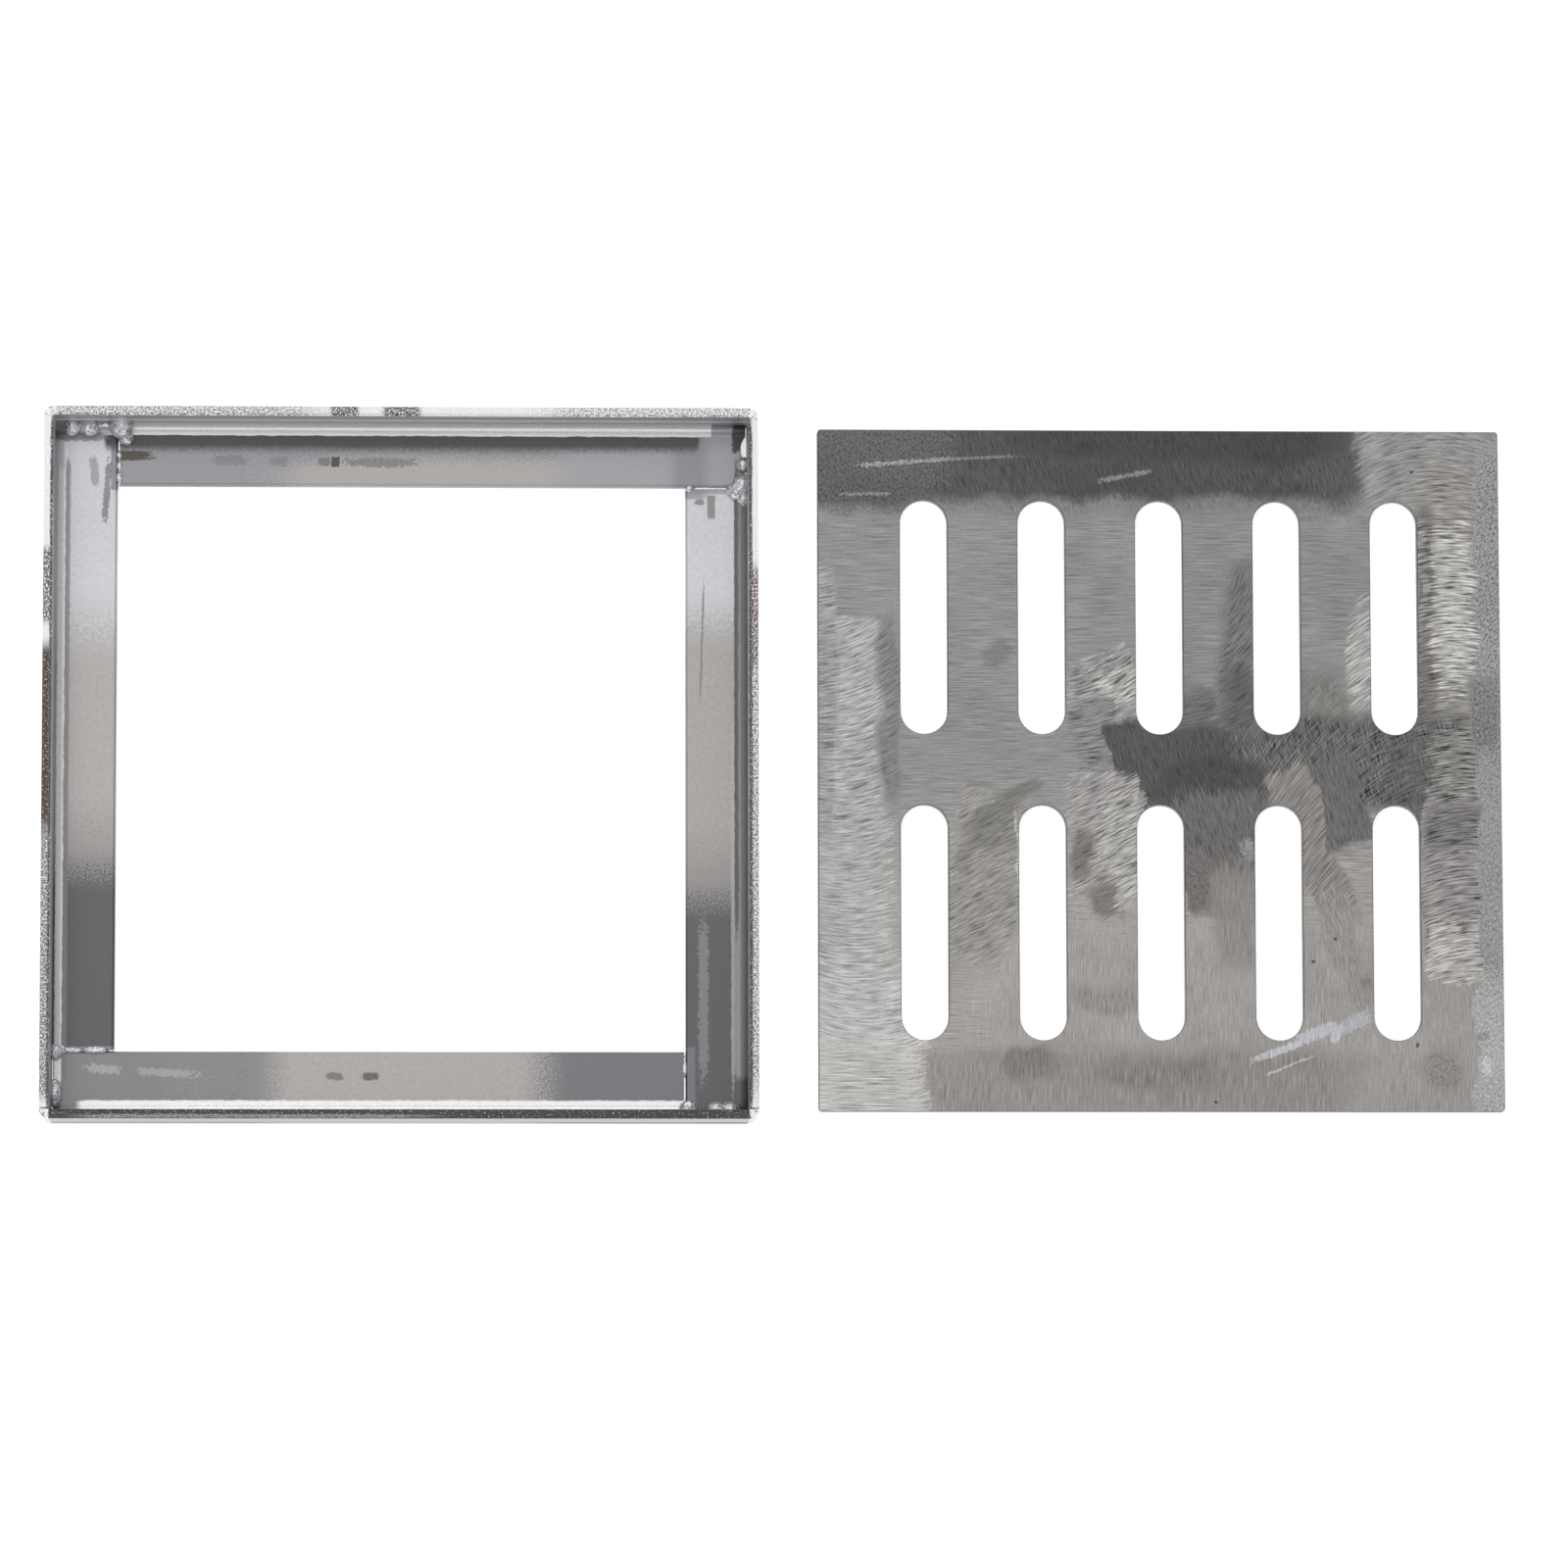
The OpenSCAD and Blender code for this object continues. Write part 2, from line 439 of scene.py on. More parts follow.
class FinishBuilder(NodeLayout):
    """Lays out one node material.

    Attributes:
        batch: How many patches are laid before the coordinates wait for them.
        trace: What a waiting colour or depth adds to the coordinates, too little to show.
        apart: How far apart the noise fields of a wobble's two directions lie.
        hatch_share: Strength of each of the two strokes that make the hatching.
    """

    batch = 6
    trace = 1e-7
    apart = 57.0
    hatch_share = 0.8

    def __init__(self, name: str) -> None:
        """Starts a material with its Principled shader.

        Args:
            name: Name of the material.
        """
        self.material = bpy.data.materials.new(name)
        self.material.use_nodes = True
        super().__init__(self.material.node_tree)
        self.shader = self.tree.nodes["Principled BSDF"]
        self.grains: dict[Stroke, bpy.types.NodeSocket] = {}
        coordinates = self.node("ShaderNodeTexCoord")
        self.place = coordinates.outputs["Object"]

    def millimetres(self, centre: Point) -> bpy.types.NodeSocket:
        """Gives the place on the object in millimetres.

        Args:
            centre: Where the new origin lies on the plan.

        Returns:
            The coordinates.
        """
        made = self.node("ShaderNodeMapping", vector_type="TEXTURE")
        self.feed(made.inputs["Vector"], self.place)
        made.inputs["Location"].default_value = (centre[0] * MM, centre[1] * MM, 0)
        made.inputs["Scale"].default_value = (MM, MM, MM)
        return made.outputs["Vector"]

    def wobble(
        self, vector: bpy.types.NodeSocket, size: float, reach: float
    ) -> bpy.types.NodeSocket:
        """Shifts coordinates about a little, so that straight edges come out uneven.

        Args:
            vector: The coordinates, in millimetres.
            size: Size of the uneven places.
            reach: Widest shift, from one side to the other.

        Returns:
            The shifted coordinates.
        """
        shift = self.node("ShaderNodeCombineXYZ")
        for axis, start in enumerate((0.0, self.apart)):
            moved = self.local(vector, (start, -start), 0, (size, size))
            noise = self.noise(moved, detail=2, flat=True)
            centred = self.math("SUBTRACT", noise.outputs["Fac"], 0.5)
            self.feed(shift.inputs[axis], self.math("MULTIPLY", centred, reach))
        made = self.node("ShaderNodeVectorMath", operation="ADD")
        self.feed(made.inputs[0], vector)
        self.feed(made.inputs[1], shift.outputs[0])
        return made.outputs[0]

    def grain(self, vector: bpy.types.NodeSocket, stroke: Stroke) -> bpy.types.NodeSocket:
        """Gives one stroke's pattern, from about -0.5 to 0.5, and makes it only once.

        Args:
            vector: Place in millimetres.
            stroke: Which pattern.

        Returns:
            The pattern.
        """
        if stroke in self.grains:
            return self.grains[stroke]
        if stroke is Stroke.HATCH:
            first = self.grain(vector, Stroke.LEANING)
            second = self.grain(vector, Stroke.RIGHT_ARCS)
            made = self.math("MULTIPLY", self.math("ADD", first, second), self.hatch_share)
        else:
            form = GRAINS[stroke]
            local = self.local(vector, form.centre, form.angle, (1, 1))
            if form.bow:
                along, across, depth = self.split(local)
                sag = self.math("MULTIPLY", self.math("MULTIPLY", along, along), form.bow)
                bent = self.node("ShaderNodeCombineXYZ")
                self.feed(bent.inputs[0], along)
                self.feed(bent.inputs[1], self.math("SUBTRACT", across, sag))
                self.feed(bent.inputs[2], depth)
                local = bent.outputs[0]
            stretched = self.local(local, (0, 0), 0, (form.length, form.width))
            noise = self.noise(stretched, form.detail, form.rough, flat=form.flat)
            made = self.math("SUBTRACT", noise.outputs["Fac"], 0.5)
        self.grains[stroke] = made
        return made

    def box(
        self, vector: bpy.types.NodeSocket, patch: Patch, grain: bpy.types.NodeSocket
    ) -> bpy.types.NodeSocket:
        """Gives 1 inside a patch and 0 outside, with its soft or toothed edges.

        Args:
            vector: Place in millimetres.
            patch: The patch.
            grain: Pattern that breaks up the patch's edges.

        Returns:
            How much of the patch shows at each place.
        """
        half = (patch.size[0] / 2, patch.size[1] / 2)
        left, right, low, high = patch.soft
        made = self.node("ShaderNodeGroup", node_tree=patch_mask(), label=patch.name)
        values = {
            "Vector": vector,
            "At": (*patch.at, 0.0),
            "Turn": (0.0, 0.0, math.radians(patch.turn)),
            "Low Start": (-half[0] - left / 2, -half[1] - low / 2, 0.0),
            "Low End": (-half[0] + left / 2, -half[1] + low / 2, 1.0),
            "High Start": (half[0] - right / 2, half[1] - high / 2, 0.0),
            "High End": (half[0] + right / 2, half[1] + high / 2, 1.0),
            "Grain": grain,
            "Teeth": BITE * patch.teeth,
        }
        for key, value in values.items():
            self.feed(made.inputs[key], value)
        inside = made.outputs["Inside"]
        if patch.cover < 1.0:
            limit = (patch.cover - 0.5) * GRAIN_SPREAD
            spots = self.fade(grain, limit + SPOT_EDGE, limit - SPOT_EDGE)
            inside = self.math("MULTIPLY", inside, spots)
        if patch.strength != 1.0:
            inside = self.math("MULTIPLY", inside, patch.strength)
        return inside

    def lay(
        self,
        places: dict[str, bpy.types.NodeSocket],
        base: Patch,
        patches: Sequence[Patch],
    ) -> tuple[bpy.types.NodeSocket, bpy.types.NodeSocket]:
        """Lays patches over a base, one over the other.

        Args:
            places: Coordinates in millimetres: plain ones for the grain, uneven ones for edges.
            base: What covers the whole surface.
            patches: What lies on it, the lowest first.

        Returns:
            The colour and the depth of the grain.
        """
        colour: object = base.tone
        depth = self.math("MULTIPLY", self.grain(places["plain"], base.grain), base.contrast)
        vector = places["uneven"]
        for count, patch in enumerate(patches, start=1):
            own = self.grain(places["plain"], patch.grain or base.grain)
            inside = self.box(vector, patch, own)
            if patch.tone is not None:
                colour = self.tint(inside, colour, patch.tone)
            if patch.grain is not None:
                depth = self.mix(inside, depth, self.math("MULTIPLY", own, patch.contrast))
            if count % self.batch == 0:
                vector = self.after(vector, colour, depth)
        return colour, depth

    def after(
        self, vector: bpy.types.NodeSocket, colour: bpy.types.NodeSocket, depth: bpy.types.NodeSocket
    ) -> bpy.types.NodeSocket:
        """Makes coordinates wait for a colour and a depth, with no change that shows.

        The renderer works out what doesn't wait for anything all at once, and runs out of room
        when a finish has many patches.

        Args:
            vector: The coordinates.
            colour: The colour to wait for.
            depth: The depth to wait for.

        Returns:
            The same coordinates, worked out later.
        """
        wait = self.math("MULTIPLY_ADD", colour, self.trace, 1.0)
        wait = self.math("MULTIPLY_ADD", depth, self.trace, wait)
        made = self.node("ShaderNodeVectorMath", operation="SCALE")
        self.feed(made.inputs[0], vector)
        self.feed(made.inputs["Scale"], wait)
        return made.outputs[0]

    def shade(self, colour: object, share: Number) -> bpy.types.NodeSocket:
        """Makes a colour lighter or darker.

        Args:
            colour: A node's output or a colour.
            share: How much lighter, or darker where it is negative.

        Returns:
            The new colour.
        """
        made = self.node("ShaderNodeVectorMath", operation="SCALE")
        self.feed(made.inputs[0], colour[:3] if isinstance(colour, tuple) else colour)
        self.feed(made.inputs["Scale"], self.math("ADD", share, 1.0))
        return made.outputs[0]

    def bump(
        self, height: bpy.types.NodeSocket, strength: float, distance: float
    ) -> bpy.types.NodeSocket:
        """Turns a height into a normal.

        Args:
            height: The height.
            strength: Share of the relief that shows.
            distance: Depth of the relief, in millimetres.

        Returns:
            The normal.
        """
        made = self.node("ShaderNodeBump")
        made.inputs["Strength"].default_value = strength
        made.inputs["Distance"].default_value = distance * MM
        self.feed(made.inputs["Height"], height)
        return made.outputs["Normal"]


# Tones of the ground cover, as the display shows them
BLACKENED = display(79, 78, 76)
DARK = display(88, 87, 85)
DULL = display(127, 126, 124)
PLAIN = display(143, 142, 140)
WARM = display(160, 156, 153)
PALE = display(168, 167, 165)

COVER_BASE = Patch("brushed plate", (0, 0), (300, 300), PLAIN, grain=Stroke.BRUSHED, contrast=1.1)

COVER_PATCHES = (
    # Lower half: smoother, warmer and paler than the upper one
    Patch("lower half", (0, -95), (310, 130), WARM, soft=(2, 2, 2, 60), teeth=0.5),
    Patch("foot", (40, -108), (230, 84), WARM, grain=Stroke.PLUMB, contrast=0.8,
          soft=(40, 2, 2, 40)),
    Patch("foot, duller stretch", (-14, -134), (190, 30), display(147, 142, 139), grain=Stroke.PLUMB,
          contrast=1.1, soft=(20, 40, 2, 14), teeth=0.6),
    Patch("foot, dark rub", (-56, -125), (20, 14), display(128, 124, 120), grain=Stroke.PLUMB,
          contrast=1.4, soft=(3, 14, 9, 6)),
    Patch("foot, rub in the middle", (-2, -129), (44, 12), display(131, 127, 123),
          grain=Stroke.PLUMB, contrast=1.6, soft=(16, 16, 8, 8), teeth=1.6, strength=0.8),
    Patch("dull above the foot", (-23, -97), (28, 12), display(140, 136, 133), grain=Stroke.PLUMB,
          contrast=1.4, soft=(8, 8, 6, 8), teeth=1.6, strength=0.8),
    # Left column, gone over with short passes that rise to the right
    Patch("left column", (-131, -45), (34, 216), PALE, grain=Stroke.LEFT_ARCS, contrast=1.5,
          soft=(2, 12, 2, 4)),
    Patch("left column, foot", (-124, -116), (46, 66), display(181, 179, 177),
          grain=Stroke.LEFT_ARCS, contrast=1.5, soft=(2, 16, 2, 30)),
    Patch("bottom left corner", (-126, -133), (44, 32), display(184, 182, 179),
          grain=Stroke.BRUSHED, contrast=1.6, soft=(2, 22, 2, 16), teeth=1.8),
    Patch("upper left edge", (-141.5, 30), (9, 112), display(152, 152, 152), grain=Stroke.LEFT_ARCS,
          contrast=2.0, soft=(1, 4, 30, 20)),
    Patch("bright left pass", (-127.5, 16), (18, 92), display(166, 165, 163), turn=-3,
          grain=Stroke.LEFT_ARCS, contrast=2.0, soft=(3, 6, 30, 2), teeth=0.6),
    Patch("shade beside the first slot", (-114.5, 25), (9, 80), display(125, 124, 122),
          grain=Stroke.LEFT_ARCS, contrast=1.5, soft=(6, 5, 30, 16), strength=0.9),
    # Dark band along the top
    Patch("fade under the top band", (-30, 117), (236, 18), DULL, soft=(1, 16, 12, 2), teeth=1.4,
          grain=Stroke.LEANING, contrast=1.4, strength=0.8),
    Patch("top band", (-32, 133), (240, 34), display(86, 85, 83), grain=Stroke.LEANING,
          contrast=1.5, soft=(1, 26, 9, 1), teeth=1.0),
    Patch("top band, right end", (80, 137), (26, 44), display(92, 91, 90), turn=-32,
          grain=Stroke.LEANING, contrast=1.5, soft=(10, 15, 12, 2), teeth=1.6),
    Patch("top band, left end", (-120, 134), (58, 32), display(100, 99, 97), grain=Stroke.MOTTLE,
          contrast=1.9, soft=(1, 26, 8, 4), teeth=1.2),
    Patch("top band, lower left", (-124, 117), (40, 14), display(96, 95, 93), grain=Stroke.MOTTLE,
          contrast=2.0, soft=(1, 14, 10, 6), teeth=1.6),
    Patch("top band, darkest", (10, 140), (130, 16), display(74, 73, 71), grain=Stroke.LEANING,
          contrast=1.2, soft=(34, 34, 10, 4), teeth=1.2, strength=0.8),
    Patch("top band, dark knot", (-26, 122), (40, 12), BLACKENED, grain=Stroke.LEANING,
          contrast=1.5, soft=(12, 16, 6, 8), teeth=1.6, strength=0.8),
    # Top right corner and right margin
    Patch("top right corner", (118, 131), (64, 42), display(149, 148, 146),
          grain=Stroke.RIGHT_ARCS, contrast=1.6, soft=(14, 1, 24, 1), teeth=0.6),
    Patch("right margin", (126, 68), (30, 128), display(150, 147, 144), grain=Stroke.RIGHT_ARCS,
          contrast=2.2, soft=(5, 4, 24, 24)),
    Patch("right margin, by the slot", (113, 62), (8, 100), display(118, 115, 112),
          grain=Stroke.RIGHT_ARCS, contrast=2.4, soft=(2, 5, 20, 20), strength=0.8),
    Patch("right margin, bright pass", (125, 70), (17, 66), display(178, 176, 173),
          grain=Stroke.RIGHT_ARCS, contrast=3.0, soft=(9, 7, 30, 24), teeth=1.2),
    Patch("right margin, slot edge glare", (111.6, 82), (3, 46), display(158, 156, 153),
          grain=Stroke.RIGHT_ARCS, contrast=3.0, soft=(1, 3, 14, 14), teeth=1.6, strength=0.6),
    Patch("glare left of the last slot", (86, 38), (9, 60), display(176, 174, 171),
          grain=Stroke.RIGHT_ARCS, contrast=3.2, soft=(9, 1, 20, 30), teeth=1.6, strength=0.8),
    Patch("dull between the last slots", (66, 24), (30, 40), display(126, 125, 122),
          grain=Stroke.HATCH, contrast=1.4, soft=(8, 12, 20, 22), strength=0.8),
    # Dark middle
    Patch("dusk over the dark middle", (26, 22), (64, 24), display(112, 111, 109),
          grain=Stroke.SLOT_ARCS, contrast=1.4, soft=(14, 10, 4, 16), teeth=1.0),
    Patch("dark rise by the fourth slot", (33, 50), (15, 78), display(118, 117, 115), turn=-5,
          grain=Stroke.SLOT_ARCS, contrast=2.0, soft=(9, 3, 10, 12), teeth=1.2),
    Patch("dark foot of the rise", (35, 30), (14, 24), display(98, 97, 95), turn=-16,
          grain=Stroke.SLOT_ARCS, contrast=1.7, soft=(8, 3, 8, 14), teeth=1.2, strength=0.9),
    Patch("bright wedge", (-23, 33), (32, 30), display(150, 148, 146), turn=26,
          grain=Stroke.WEDGE_ARCS, contrast=2.6, soft=(18, 4, 22, 6), teeth=1.2),
    Patch("brightest of the wedge", (-16, 37), (18, 12), display(178, 176, 173), turn=30,
          grain=Stroke.WEDGE_ARCS, contrast=3.0, soft=(8, 3, 5, 4), teeth=1.8, strength=0.7),
    Patch("below the wedge", (-27, 12), (20, 34), display(134, 133, 131), turn=14,
          grain=Stroke.WEDGE_ARCS, contrast=2.2, soft=(10, 1, 8, 8)),
    Patch("dark middle", (16, 0), (66, 37), DARK, grain=Stroke.LEANING, contrast=1.5,
          soft=(2, 16, 12, 9), turn=-2),
    Patch("dark middle, slanted edge", (-12, 2), (16, 36), DARK, turn=15, grain=Stroke.LEANING,
          contrast=1.5, soft=(1.4, 8, 5, 5)),
    Patch("cross-hatched middle", (84, 4), (96, 38), display(107, 106, 104), grain=Stroke.HATCH,
          contrast=3.0, soft=(26, 12, 8, 14)),
    Patch("darkest of the middle", (24, -4), (44, 14), BLACKENED, grain=Stroke.LEANING,
          contrast=1.3, soft=(14, 14, 8, 8), strength=0.8),
    Patch("dark lobe under the hatching", (108, -6), (22, 42), display(104, 103, 101),
          grain=Stroke.HATCH, contrast=1.9, soft=(6, 10, 18, 14), strength=0.9),
    Patch("right margin, crossing", (128, 0), (20, 36), display(136, 135, 132),
          grain=Stroke.RIGHT_ARCS, contrast=3.4, soft=(10, 3, 12, 14), teeth=1.4, strength=0.9),
    # Lands between the lower slots
    Patch("third lower land", (-24, -29), (30, 54), display(154, 151, 149), grain=Stroke.RISING,
          contrast=2.3, soft=(8, 2, 14, 10), teeth=1.2),
    Patch("third land, bright pass", (-17, -26), (16, 34), display(172, 170, 167), turn=-12,
          grain=Stroke.RISING, contrast=2.8, soft=(8, 3, 10, 8), teeth=1.6, strength=0.6),
    Patch("smudge, third land left", (-34, -37), (9, 18), display(122, 118, 115), turn=-10,
          grain=Stroke.RISING, contrast=2.0, soft=(6, 6, 9, 9), teeth=1.2),
    Patch("smudge, third land right", (-22, -57), (17, 13), display(122, 119, 116), turn=10,
          grain=Stroke.RISING, contrast=1.4, soft=(8, 4, 7, 8), teeth=1.2, strength=0.9),
    Patch("third land, bright foot", (-15, -52), (8, 16), display(182, 180, 177), turn=-14,
          grain=Stroke.RISING, contrast=2.6, soft=(5, 1, 6, 6), teeth=1.6, strength=0.7),
    Patch("second lower land", (-75, -48), (34, 76), display(149, 146, 143), turn=-12,
          grain=Stroke.RISING, contrast=1.8, soft=(6, 6, 30, 6)),
    Patch("edge of the disc's turn", (-66, -15), (40, 8), display(117, 116, 113), turn=34,
          grain=Stroke.RISING, contrast=1.3, soft=(14, 12, 6, 3), teeth=0.8, strength=0.8),
    Patch("edge of the disc's turn, low end", (-80, -34), (20, 7), display(126, 124, 121), turn=58,
          grain=Stroke.RISING, contrast=1.3, soft=(10, 8, 5, 3), teeth=0.8, strength=0.7),
    Patch("second land, dark", (-70, -26), (18, 16), display(124, 122, 119), grain=Stroke.RISING,
          contrast=1.6, soft=(8, 8, 8, 8), strength=0.7),
    Patch("glint by the second slot", (-60.6, -38), (1.6, 40), display(190, 189, 186),
          soft=(1, 0.8, 16, 16), teeth=0.6, strength=0.7),
    Patch("fourth lower land", (23, -28), (36, 36), display(109, 107, 105), grain=Stroke.LEANING,
          contrast=1.6, soft=(2, 3, 18, 10), teeth=0.9),
    Patch("fourth land, tail", (16, -48), (14, 26), display(116, 113, 111), turn=18,
          grain=Stroke.MOTTLE, contrast=1.4, soft=(5, 8, 10, 12), teeth=1.0),
    Patch("fourth land, dull side", (31, -62), (18, 46), display(139, 135, 132),
          grain=Stroke.PLUMB, contrast=1.1, soft=(7, 4, 20, 20), strength=0.8),
    Patch("warm pass", (64, -32), (19, 70), display(140, 136, 133), turn=20,
          grain=Stroke.RIGHT_ARCS, contrast=2.0, soft=(6, 4, 22, 7)),
    Patch("dark tip", (78, -14), (20, 38), display(110, 109, 107), turn=13, grain=Stroke.LEANING,
          contrast=1.6, soft=(1.2, 6, 7, 12), teeth=0.6),
    Patch("foot of the warm pass", (79, -78), (14, 52), display(151, 147, 143), turn=16,
          grain=Stroke.LEANING, contrast=1.4, soft=(6, 5, 16, 16), strength=0.8),
    Patch("lower right margin", (125, -46), (28, 70), display(148, 145, 143),
          grain=Stroke.RIGHT_ARCS, contrast=2.6, soft=(3, 3, 16, 14)),
    Patch("lower right margin, dark pass", (126, -24), (26, 18), display(118, 116, 114),
          grain=Stroke.RIGHT_ARCS, contrast=2.6, soft=(6, 6, 8, 8), teeth=1.4, strength=0.8),
    Patch("lower right margin, bright pass", (125, -78), (24, 22), display(178, 175, 172),
          grain=Stroke.RIGHT_ARCS, contrast=2.6, soft=(4, 3, 4, 14), teeth=1.2),
    # Right edge
    Patch("right edge, rough", (140.5, 66), (11, 140), display(151, 151, 151),
          grain=Stroke.MOTTLE, contrast=2.6, soft=(4, 1, 30, 20), teeth=1.2),
    Patch("right edge, dark rub", (138, 24), (12, 30), display(128, 127, 126),
          grain=Stroke.MOTTLE, contrast=2.2, soft=(6, 2, 12, 12), teeth=1.4, strength=0.8),
    Patch("right edge, middle", (140.5, -42), (11, 96), display(153, 153, 152),
          grain=Stroke.MOTTLE, contrast=1.6, soft=(3, 1, 2, 20), teeth=0.7),
    Patch("right edge, foot", (139.5, -118), (13, 60), display(174, 173, 172),
          grain=Stroke.MOTTLE, contrast=1.3, soft=(3, 1, 4, 18), teeth=1.0),
    Patch("brown bloom", (118, -127), (16, 14), display(140, 134, 129), grain=Stroke.MOTTLE,
          contrast=1.8, soft=(6, 6, 6, 6), teeth=2.4, strength=0.7),
)

COVER_SCRATCHES = (
    Patch("long scratch in the top band", (-108, 131), (40, 1.6), display(158, 157, 155), turn=4,
          soft=(8, 12, 1.2, 1.2), teeth=1.4, strength=0.8),
    Patch("second long scratch", (-80, 133), (42, 1.2), display(138, 137, 135), turn=2,
          soft=(10, 24, 1.2, 1.2), teeth=1.6, strength=0.7),
    Patch("short scratch", (-124, 117.4), (22, 1.3), display(140, 139, 137), turn=1,
          soft=(8, 8, 1, 1), teeth=1.2, strength=0.8),
    Patch("dashed scratch", (-14, 125.5), (22, 1.8), display(142, 141, 139), turn=12,
          soft=(6, 6, 1.6, 1.6), teeth=2.2, strength=0.8),
    Patch("white scrape, tip", (49, -119.5), (22, 3.0), display(192, 192, 195), turn=20,
          soft=(16, 3, 1.5, 1.5), teeth=0.7),
    Patch("white scrape, middle", (65, -112), (18, 5.0), display(188, 188, 192), turn=22,
          soft=(6, 3, 2, 2), teeth=1.8, strength=0.9),
    Patch("white scrape, hook", (74, -112), (4, 8), display(194, 194, 198), turn=-24,
          soft=(1.5, 1.5, 2, 2), teeth=1.2, strength=0.8),
    Patch("white scrape, curl", (82, -107), (13, 6), display(184, 184, 189), turn=26,
          soft=(4, 5, 2, 2), teeth=2.6, strength=0.7),
    Patch("thin line under the scrape", (54, -125.5), (22, 0.9), display(190, 188, 186), turn=22,
          soft=(4, 8, 0.8, 0.8), teeth=0.9),
    Patch("spot", (73.7, -72.2), (1.6, 1.6), display(96, 92, 90), teeth=0.0, soft=(1, 1, 1, 1)),
    Patch("second spot", (64.2, -81.7), (1.8, 1.6), display(92, 88, 86), teeth=0.0,
          soft=(1, 1, 1, 1)),
    Patch("third spot", (22.6, -141.2), (1.6, 1.3), display(98, 74, 70), teeth=0.0,
          soft=(1, 1, 1, 1)),
    Patch("fourth spot", (108, -117), (1.5, 1.8), display(96, 92, 90), teeth=0.0,
          soft=(1, 1, 1, 1)),
    Patch("fifth spot", (108, 127.5), (1.4, 1.4), display(84, 82, 80), teeth=0.0,
          soft=(1, 1, 1, 1)),
    Patch("faint mark", (-69, 49), (12, 9), display(122, 120, 118), turn=40, soft=(4, 4, 4, 4),
          teeth=3.2, strength=0.7),
    Patch("fleck of light", (37, -34), (5, 8), display(160, 159, 157), turn=10,
          soft=(4, 2, 4, 4), teeth=3.0, strength=0.7),
    Patch("rub on the right edge", (136, -113), (5, 3), display(140, 139, 139), turn=10,
          soft=(1.5, 1.5, 1, 1), teeth=1.6, strength=0.7),
    Patch("second rub on the right edge", (137.5, -126), (4, 7), display(198, 198, 199),
          soft=(1.5, 1.5, 2, 2), teeth=1.8, strength=0.7),
)

# Tones of the sprayed frame, as the display shows them
SILVER = display(200, 200, 204)
SILVER_WARM = display(173, 168, 166)
# cool grey of the spray, darkened as a painted dim reflection on the back bar
DIM_REFLECTION_GREY = display(142, 141, 145)
# painted shade under the back root
ROOT_SHADE = display(84, 83, 84)
# painted highlight for the front root
ROOT_HIGHLIGHT = display(240, 239, 239)

FRAME_BASE = Patch("sprayed silver", (0, 0), (320, 320), SILVER, grain=Stroke.PEEL, contrast=0.35)

